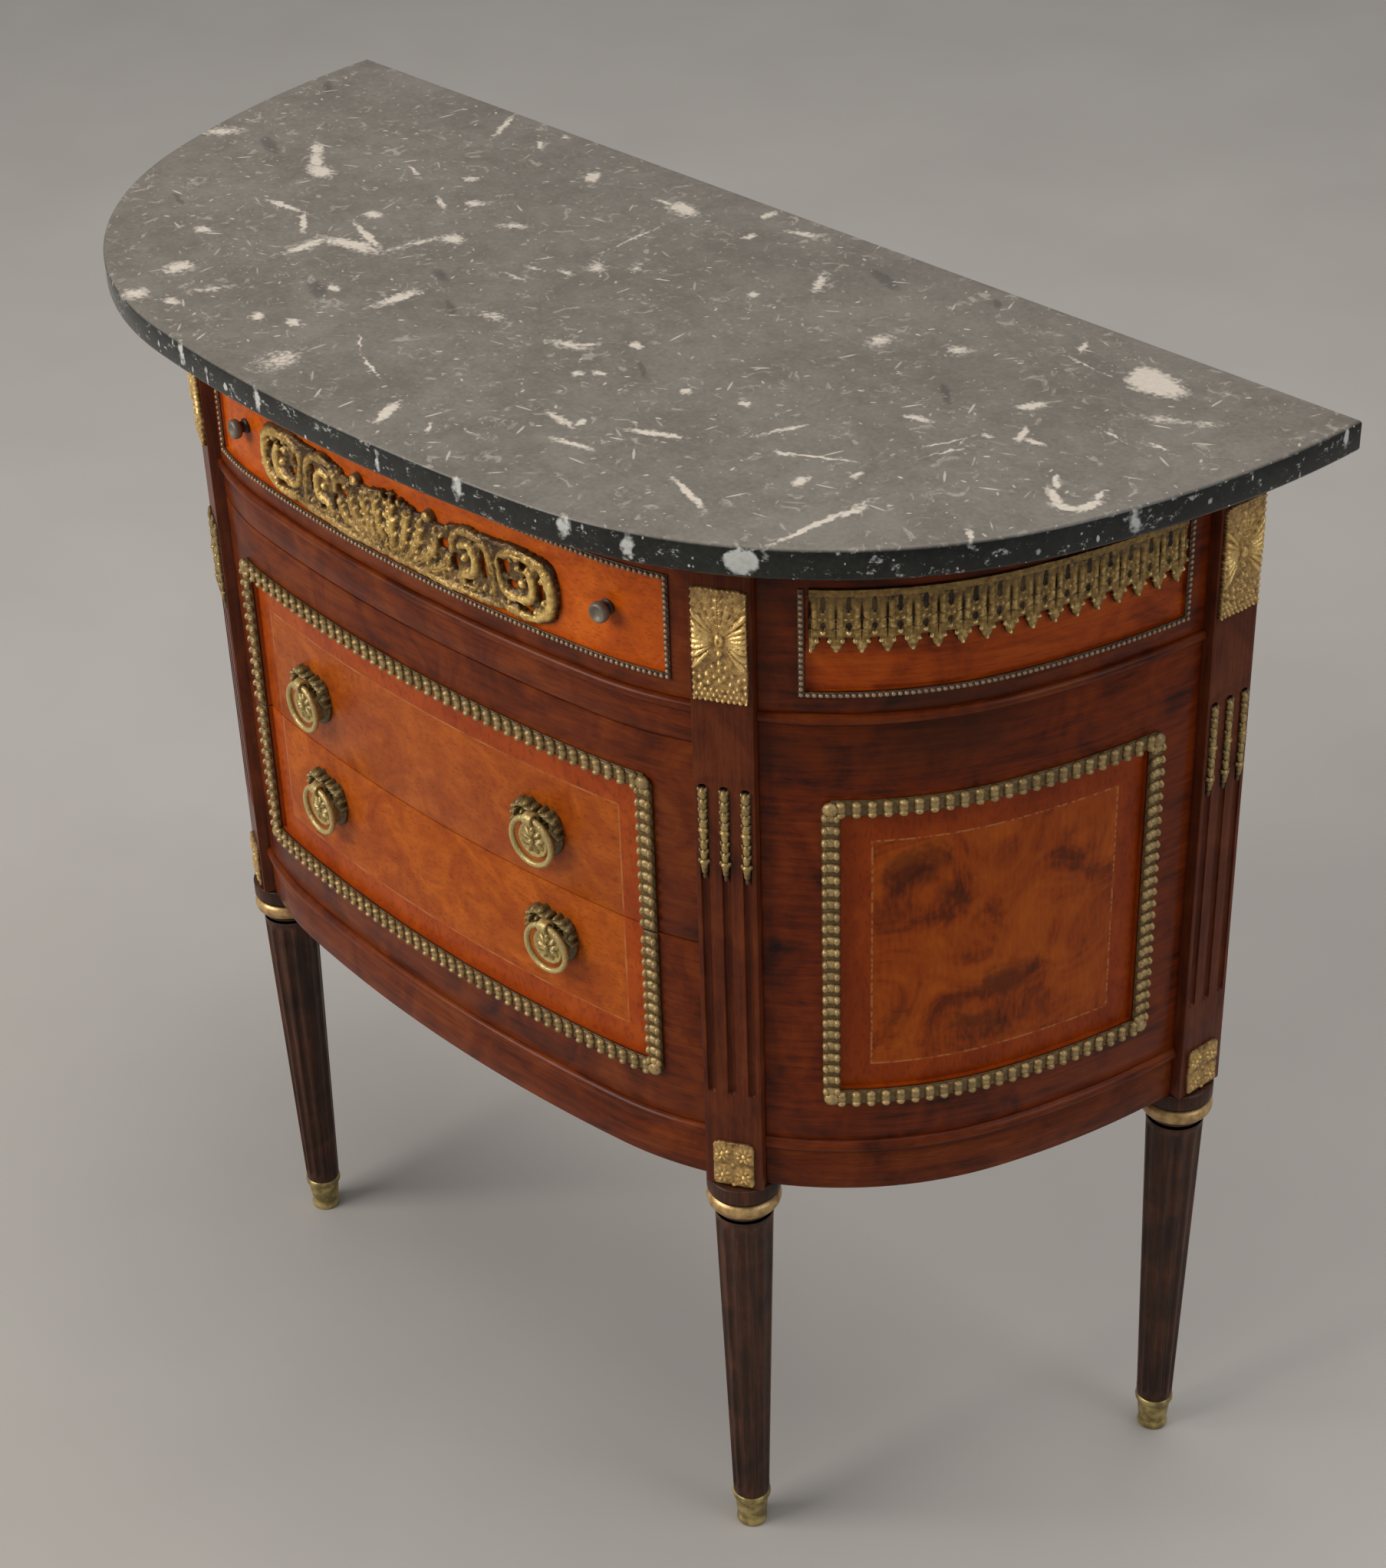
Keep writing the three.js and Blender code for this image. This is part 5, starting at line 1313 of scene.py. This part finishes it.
def lambrequin_casting(start, end, foot, head):
    """Band with a slotted ground and lobed pendants."""
    cast = Casting((start, end), (foot, head), 0.6)
    middle, half = (start + end) / 2, (end - start) / 2 + 2
    cast.plate(middle, 783.5, half, 15.5, 1.9, power=20)
    cast.plate(middle, 799.4, half, 2.8, 2.3, power=20)
    count = int((end - start) / PENDANT_PITCH) + 1
    for step in range(count):
        x = start + PENDANT_INSET + step * PENDANT_PITCH
        cast.dome(x, 775.5, 6.5, 11, 2.3, power=3, fullness=0.35)
        cast.dome(x, 765, 4.6, 7.2, 2.5, fullness=0.4)
        for side in (-1, 1):
            cast.dome(x + side * 2.7, 783, 2.1, 15.5, 2.7, power=3)
            cast.dome(x + side * 4.1, 766.4, 2.2, 2.1, 3.4)
            cast.dome(x + side * 5.2, 795.2, 1.8, 1.1, 2.5)
        cast.dome(x, 759.6, 1.9, 2.0, 3.2)
        cast.groove(x, 781, 0.8, 16, 1.4)
        for z in (774.6, 781.8):
            cast.groove(x, z, 4.5, 0.8, 0.9)
    for step in range(count):
        x = start + PENDANT_INSET + (step + 0.5) * PENDANT_PITCH
        cast.dome(x, 772, 2.2, 2.0, 3.5)
        cast.dome(x, 785.4, 1.6, 1.4, 3.0)
        for side in (-1, 1):
            cast.dome(x + side * 1.8, 781.3, 1.6, 1.4, 3.1)
            cast.dome(x + side * 3.0, 775.8, 1.2, 1.6, 2.8)
        # The slots stop just short of the seat instead of going through; the finish paints their floors
        # dark there, as painted shade with patina.
        for z, wide, tall in ((792.3, 1.5, 4.6), (788.4, 1.9, 2.6), (776.4, 1.8, 2.8)):
            cast.groove(x, z, wide, tall, 3.4)
            cast.groove(x, z, wide * 0.8, tall * 0.8, 3.4)
    return cast.shape(0.25, 0.1)


def lambrequin(side):
    shape = handed(lambrequin_casting(317.2, 571.8, 757, 802.2), side)
    name, node = f"side_{side}_lambrequin_cast", f"side_lambrequin_{side}"
    lay(shape, name, brass_frieze, replace=[node], crease=75)


# Pierced mount and knobs of the frieze drawer

# How far the mount sits from the middle, and where the knobs are.
MOUNT_SHIFT = -6
KNOB_RUN, KNOB_HEIGHT = 184, 764.5


def mount_casting():
    """Scrolls and acanthus on a pierced plate, alike on both sides of the middle."""
    cast = Casting((-152, 152), (730, 787), 0.8, mirrored=True)
    for x, z, wide, tall, power in (
        (0, 755.5, 66, 21, 6), (72, 758, 24, 24, 3), (95, 758, 12, 22, 4), (123.5, 759, 27.5, 24.5, 4),
    ):
        cast.plate(x, z, wide, tall, 2.6, power)
    ridges = [
        [(98, 740, 2.5, 3), (112, 737.5, 4.5, 5), (130, 738, 5, 5.6), (144, 746, 5.6, 6),
         (146.5, 762, 5.8, 6.2), (141, 775, 5.6, 6), (127, 779, 5.4, 5.8), (112, 778, 5, 5.4),
         (102, 770, 4, 4.8), (102, 760, 3.4, 4.6)],
        [(102, 760, 3.4, 4.6), (106, 750, 4, 5.2), (117, 746.5, 4.4, 5.6), (129, 751, 5, 6),
         (132, 762, 4.8, 6.2), (127, 770, 4, 6), (119, 769, 3.4, 5.4)],
        [(97, 738, 3, 3.6), (97, 750, 3.6, 4.6), (95, 763, 4, 5), (90, 774, 4.4, 5.2),
         (79, 779, 4.6, 5), (67, 778, 4.4, 5), (60, 770, 4, 5), (60, 762, 3.4, 4.8)],
        [(64, 744, 3.4, 4.6), (70, 748, 4.4, 5.4), (79, 752, 4.6, 6), (81, 762, 4.4, 6.2),
         (76, 770, 4, 6), (68, 768, 3.4, 5.4)],
        [(84, 781.5, 1.5, 2.6), (93, 780.5, 2.6, 3.4), (103, 781, 3, 3.8), (114, 782.5, 2.6, 3.6),
         (126, 783, 1.6, 2.6)],
        [(104, 737, 3.5, 4.4), (90, 735.5, 3.6, 4.6), (76, 735.5, 3.6, 4.8), (62, 735, 3.8, 5),
         (48, 734.5, 3.8, 5), (32, 734.8, 3.6, 4.8), (16, 735, 3.6, 4.6), (0, 735, 3.8, 4.6)],
    ]
    for points in ridges:
        cast.ridge(points, 6 * len(points))
    leaves = [
        [(0, 738, 3.4, 4.6), (0, 750, 5, 5.8), (0, 763, 5.6, 6.4), (0, 775, 4, 5.4),
         (0, 783, 1.6, 2.6)],
        [(5, 738, 3, 4.4), (11, 750, 4.2, 5.4), (15, 762, 4.4, 5.8), (16, 772, 3.4, 5),
         (14, 779, 1.6, 2.6)],
        [(12, 738, 3, 4.4), (21, 748, 4.2, 5.4), (27, 758, 4.4, 5.6), (29, 768, 3.6, 5),
         (27, 774, 1.8, 2.8)],
        [(20, 738, 3, 4.4), (31, 745, 4.2, 5.2), (40, 753, 4.2, 5.4), (44, 762, 3.6, 5),
         (44, 770, 1.8, 3)],
        [(32, 738, 3, 4.4), (43, 742, 4, 5), (53, 748, 4, 5.2), (57, 755, 3, 4.6)],
        [(84, 741, 3, 4), (76, 742, 3.6, 4.8), (67, 741, 3.4, 4.8)],
    ]
    for points in leaves:
        cast.acanthus(points, 20)
    for x, z, size, height in (
        (37, 778, 5.8, 6), (56, 777, 3.4, 4.6), (9, 778, 4.2, 5), (20, 776, 3.6, 4.6),
        (49, 768, 3.6, 5), (29.5, 772, 3.2, 5), (44, 772, 3, 4.8), (123, 760, 4.4, 6.4),
        (72, 761, 4, 6.4), (88, 744, 3, 4.8), (109, 765, 2.8, 4.4), (113, 773, 3, 4.8),
        (61, 741, 3, 4.8), (51, 739, 3, 4.8), (94, 743, 2.6, 4.6), (141, 752, 3.4, 6.4),
        (139, 767, 3.4, 6.2), (134, 743, 3.2, 6), (120, 741, 3, 5.4), (109, 741, 3, 5.2),
        (133, 774, 3.4, 6), (119, 776, 3.2, 5.6),
    ):
        cast.dome(x, z, size, size * 0.9, height)
    for x, z, wide, tall, depth, tilt in (
        (143, 757, 1.0, 7, 1.8, 0.0), (140, 771, 1.0, 6, 1.6, 0.9), (120, 779, 6, 0.9, 1.4, 0.0),
        (128, 741, 7, 0.9, 1.6, 0.1), (106, 741, 5, 0.8, 1.4, -0.1), (96, 758, 0.8, 9, 1.4, 0.1),
        (66, 776, 5, 0.8, 1.4, -0.2), (82, 775, 5, 0.8, 1.4, 0.5), (37, 774, 5, 0.8, 2.4, 0.0),
        (26, 741, 6, 0.8, 1.4, 0.6), (44, 747, 6, 0.8, 1.4, 0.5), (8, 744, 0.8, 6, 1.4, 0.3),
        (124, 764, 2.5, 0.7, 1.6, 0.6), (72, 765, 2.5, 0.7, 1.6, 0.4), (77, 757, 0.7, 4, 1.6, 0.2),
        (70, 739, 6, 0.7, 1.6, 0.1),
    ):
        cast.groove(x, z, wide, tall, depth, tilt)
    for x, z, wide, tall, tilt in (
        (87.5, 761, 1.7, 9.5, 0.06), (61.5, 753.5, 1.7, 5.5, 0.0), (52, 763.5, 5.2, 3.0, 0.6),
        (107, 766.5, 2.6, 5.6, 0.35), (113, 755.5, 3.2, 2.6, 0.4), (124, 772.2, 1.7, 1.5, 0),
        (137.4, 760, 1.7, 9.5, 0.04), (124, 743, 6, 1.9, -0.25), (75, 744.4, 2.2, 1.6, 0.0),
    ):
        cast.hole(x, z, wide, tall, tilt)
    return cast.shape(0.9)


def frieze_mount():
    shape = moved(mount_casting(), x=MOUNT_SHIFT, y=FRIEZE_DEPTH - 0.3)
    name, node = "frieze_drawer_pierced_mount", "frieze_drawer_mount"
    lay(shape, name, brass_mount, "frieze_drawer", replace=[node], crease=75)


def knob(side):
    shape = lathe([
        (0, 0.3), (5.4, 0.3), (5.4, 1.2), (4.4, 1.9), (3.9, 3.4), (4.4, 5.2), (6.2, 6), (7, 7.2),
        (7, 9.4), (6.6, 10.8), (5.6, 11.6), (4.6, 11.4), (3.4, 10.4), (2, 9.8), (0, 9.6),
    ], 32)
    place = onto_seat(seat(turn_at(SIDES[side] * KNOB_RUN), WALL + FRIEZE_DEPTH, KNOB_HEIGHT))
    name, node = f"frieze_knob_{side}_turned", f"frieze_drawer_knob_{side}"
    lay(shape, name, knob_metal, "frieze_drawer", place, [node])


def old_iron():
    finish = Finish("knob_metal_tarnished_and_shaded", "knob_metal", {"Metallic": 0.5})
    # Dark at the seat and on the stem under the head, lighter on the head: painted shade on old metal.
    out = (finish.y * -1).over(4, 9)
    cloud = finish.noise(0.5, detail=3)
    finish.set("Base Color", finish.mix(out * 0.8 + cloud * 0.2, (0.02, 0.012, 0.01), (0.22, 0.18, 0.14)))
    finish.set("Roughness", 0.42 + cloud * 0.2)
    finish.bump(cloud, 0.3, 0.0004)
    return finish


knob_metal = old_iron()


# Ring pulls

# How far the pulls stand from the middle, and each drawer's height of them and their shift to the right.
PULL_RUN = 121.5
PULLS = {"upper_drawer": (570, -4), "lower_drawer": (486.5, 3)}
RING_RADIUS, RING_WIRE, RING_REACH = 17.5, 2.15, 13.5


def bow_casting():
    """Ribbon bow of two loops with its knot and tails, in a wreath of small lobes."""
    cast = Casting((-31, 21), (-1, 29), 0.6)
    cast.plate(-14, 13.5, 12, 12, 2.4, 3)
    cast.plate(6.5, 12.5, 11, 10, 2.4, 3)
    for points in (
        [(-2, 14, 2.8, 5), (-7, 20, 2.8, 5), (-14, 22, 3, 5.2), (-20, 19, 3, 5), (-22.5, 12.5, 2.8, 5),
         (-19, 7.5, 2.6, 4.8), (-12, 7, 2.6, 4.8), (-4, 11, 2.6, 5)],
        [(-2, 14, 2.8, 5), (2, 19.5, 2.8, 5), (8, 19.5, 3, 5), (12.5, 15, 2.8, 5),
         (11.5, 9.5, 2.6, 4.8), (5, 9, 2.4, 4.8)],
        [(-21, 10, 2.6, 4.6), (-25.5, 6, 2.6, 4.4), (-27, 2, 2.2, 3.6)],
        [(11, 10, 2.6, 4.6), (15, 7, 2.6, 4.4), (17, 2.5, 2.2, 3.6)],
    ):
        cast.ridge(points, 5 * len(points))
    for x, z, size, height in (
        (-27.5, 4, 2.6, 4.2), (-26, 11, 2.9, 4.6), (-23.5, 17.5, 3.1, 5), (-18, 23, 3.1, 5.2),
        (-10.5, 24.8, 3.1, 5.4), (-4, 22.4, 2.8, 5), (3, 23, 2.8, 5), (9.5, 21.6, 2.9, 5),
        (14.6, 16.6, 2.8, 4.8), (16.6, 10.4, 2.8, 4.6), (18, 4, 2.4, 4), (-16, 14.5, 2.8, 4.8),
        (6, 14.4, 2.6, 4.6), (-2, 15, 3.8, 6.4), (-2, 8, 3, 5.4),
    ):
        cast.dome(x, z, size, size, height)
    for x, z, wide, tall, tilt in (
        (-12, 22, 4, 0.7, -0.2), (-20, 18, 3.6, 0.7, 0.7), (-21, 11, 0.7, 3, 0.0),
        (4.5, 19.5, 3.2, 0.7, 0.1), (11.5, 15, 0.7, 3, 0.1), (-9, 17, 0.7, 3, 0.6),
        (1.5, 16, 0.7, 2.6, -0.5), (-2, 12, 2.4, 0.7, 0.0),
    ):
        cast.groove(x, z, wide, tall, 1.8, tilt)
    cast.hole(-15.5, 10.6, 0.9, 0.9)
    cast.hole(7.4, 12.0, 0.9, 0.9)
    return scaled(cast.shape(0.5), 0.93, 1.6, 0.9)


def pull_plate():
    """Back plate: a dished boss with petals, a ribbon bow above it and the knuckle that holds the ring."""
    boss = lathe([
        (0, 0.3), (16.6, 0.3), (16.9, 1.1), (16.3, 2.2), (14.4, 2.6), (13.3, 3.6), (13.4, 6), (13.7, 9),
        (13.6, 11), (12.8, 12.4), (11.6, 12.6), (10.4, 11.6), (8, 11.2), (5, 11.5), (2, 12.2),
        (0, 12.4),
    ], 44)
    parts = [boss, bow_casting()]
    petals = 9
    for step in range(petals):
        tilt = math.tau * (step + 0.3) / petals
        dx, dz = math.cos(tilt), math.sin(tilt)
        parts.append(leaf([
            (dx * reach, dz * reach, width, height)
            for reach, width, height in ((2, 0.9, 2.6), (5.2, 2.0, 3.4), (8.2, 2.2, 2.8), (10.8, 0.9, 1.0))
        ], 10.8, 5, 6))
    parts.append(bead(0, 0, 2.4, 12.2))
    hub = lathe([
        (3.1, -3.6), (4.7, -3.6), (5, -2.4), (4.6, 0), (5, 2.4), (4.7, 3.6), (3.1, 3.6), (3.1, -3.6),
    ], 24, "Z")
    parts.append(moved(turned(hub, math.pi / 2, "Y"), y=-13.2, z=RING_RADIUS))
    parts.append(bead(0, 15, 1, 5.0, wide=3.2, tall=4.2, rise=4, sides=10, rows=6))
    return assemble(*parts)


def pull_ring():
    ring = bmesh.new()
    made = bmesh.ops.create_circle(ring, segments=12, radius=RING_WIRE)
    bmesh.ops.translate(ring, vec=(RING_RADIUS, 0, 0), verts=made["verts"])
    return moved(spun(ring, ring.verts[:] + ring.edges[:], (0, 1, 0), 56), y=-RING_REACH)


def ring_pulls():
    for drawer, (height, shift) in PULLS.items():
        for side, sign in SIDES.items():
            place = onto_seat(seat(turn_at(sign * PULL_RUN + shift), WALL + FIELD_DEPTH, height))
            plate, ring = f"{drawer}_pull_plate_{side}", f"{drawer}_pull_ring_{side}"
            name = f"{drawer}_bow_plate_{side}"
            lay(pull_plate(), name, brass_fittings, drawer, place, [plate], crease=60)
            lay(pull_ring(), f"{drawer}_drop_ring_{side}", brass_fittings, ring, place, [ring])


marble_top()
wooden_body()
drawer_fronts()
for station, station_turn in STATIONS.items():
    stile(station, station_turn)
    fluted_leg(station, station_turn)
    leg_brasses(station, station_turn)
    stile_brasses(station, station_turn)
front_moulding()
bead_frames()
for each_side in SIDES:
    side_moulding(each_side)
    lambrequin(each_side)
    knob(each_side)
frieze_mount()
ring_pulls()

# These pieces keep the meshes of the solids.
for plain_finish, plain_nodes in (
    (board_wood, ("carcase_top", "dust_board", "bottom_board")),
    (inner_wood, (
        "back_panel", "partition_left", "partition_right",
        "frieze_drawer_box", "upper_drawer_box", "lower_drawer_box",
    )),
):
    for plain_node in plain_nodes:
        for slot_of_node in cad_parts[plain_node].material_slots:
            slot_of_node.material = plain_finish.material


# Floor, light and camera


def floor_finish():
    finish = Finish("floor_pale", None, {}, laid=False)
    cloud = finish.noise(0.004, detail=3)
    finish.set("Base Color", finish.mix(cloud, (0.36, 0.335, 0.31), (0.42, 0.395, 0.365)))
    finish.set("Roughness", 0.7 + cloud * 0.1)
    return finish


def floor():
    shape = bmesh.new()
    bmesh.ops.create_grid(shape, x_segments=2, y_segments=2, size=14)
    finished(shape, "floor", floor_finish())


def soft_light(name, place, aim, size, power, colour):
    lamp = bpy.data.lights.new(name, "AREA")
    lamp.shape = "RECTANGLE"
    lamp.size, lamp.size_y = size
    lamp.energy = power
    lamp.color = colour
    holder = put_in_scene(name, lamp)
    holder.location = place
    holder.rotation_euler = (Vector(aim) - Vector(place)).to_track_quat("-Z", "Y").to_euler()


def studio():
    soft_light("window_light", (-1.6, -3.4, 2.9), (0, -0.1, 0.5), (2.6, 2.2), 150, (1, 0.985, 0.95))
    soft_light("ceiling_light", (0.3, 0.6, 4.2), (0, 0, 0.6), (4.0, 4.0), 110, (1, 0.99, 0.97))
    soft_light("side_window", (4.2, 0.8, 2.2), (0.2, 0, 0.6), (1.6, 2.0), 30, (0.86, 0.93, 1))
    world = bpy.data.worlds.new("room")
    world.use_nodes = True
    back = world.node_tree.nodes["Background"]
    back.inputs[0].default_value = (0.62, 0.62, 0.63, 1)
    back.inputs[1].default_value = 0.42
    bpy.context.scene.world = world
    bpy.context.scene.view_settings.view_transform = "Standard"
    bpy.context.scene.view_settings.look = "None"


# Camera fitted to the photo: focal length and height in pixels, turn, lift and roll in degrees, and place.
FOCAL_PIXELS, PHOTO_HEIGHT, SENSOR = 3960.25, 2044, 36
CAMERA_ANGLES = (46.930, 33.091, -1.954)
CAMERA_PLACE = (1.40143, -1.21307, 1.68959)


def photo_camera():
    lens = bpy.data.cameras.new("camera")
    lens.sensor_width = SENSOR
    lens.lens = FOCAL_PIXELS * SENSOR / PHOTO_HEIGHT
    lens.clip_start, lens.clip_end = 0.05, 60
    turn, lift, roll = (math.radians(angle) for angle in CAMERA_ANGLES)
    back = Vector((math.sin(turn) * math.cos(lift), -math.cos(turn) * math.cos(lift), math.sin(lift)))
    level = Vector((math.cos(turn), math.sin(turn), 0))
    upward = back.cross(level)
    right = level * math.cos(roll) + upward * math.sin(roll)
    up = upward * math.cos(roll) - level * math.sin(roll)
    place = Matrix((right, up, back)).transposed().to_4x4()
    place.translation = CAMERA_PLACE
    holder = put_in_scene("camera", lens)
    holder.matrix_world = place
    bpy.context.scene.camera = holder


floor()
studio()
photo_camera()
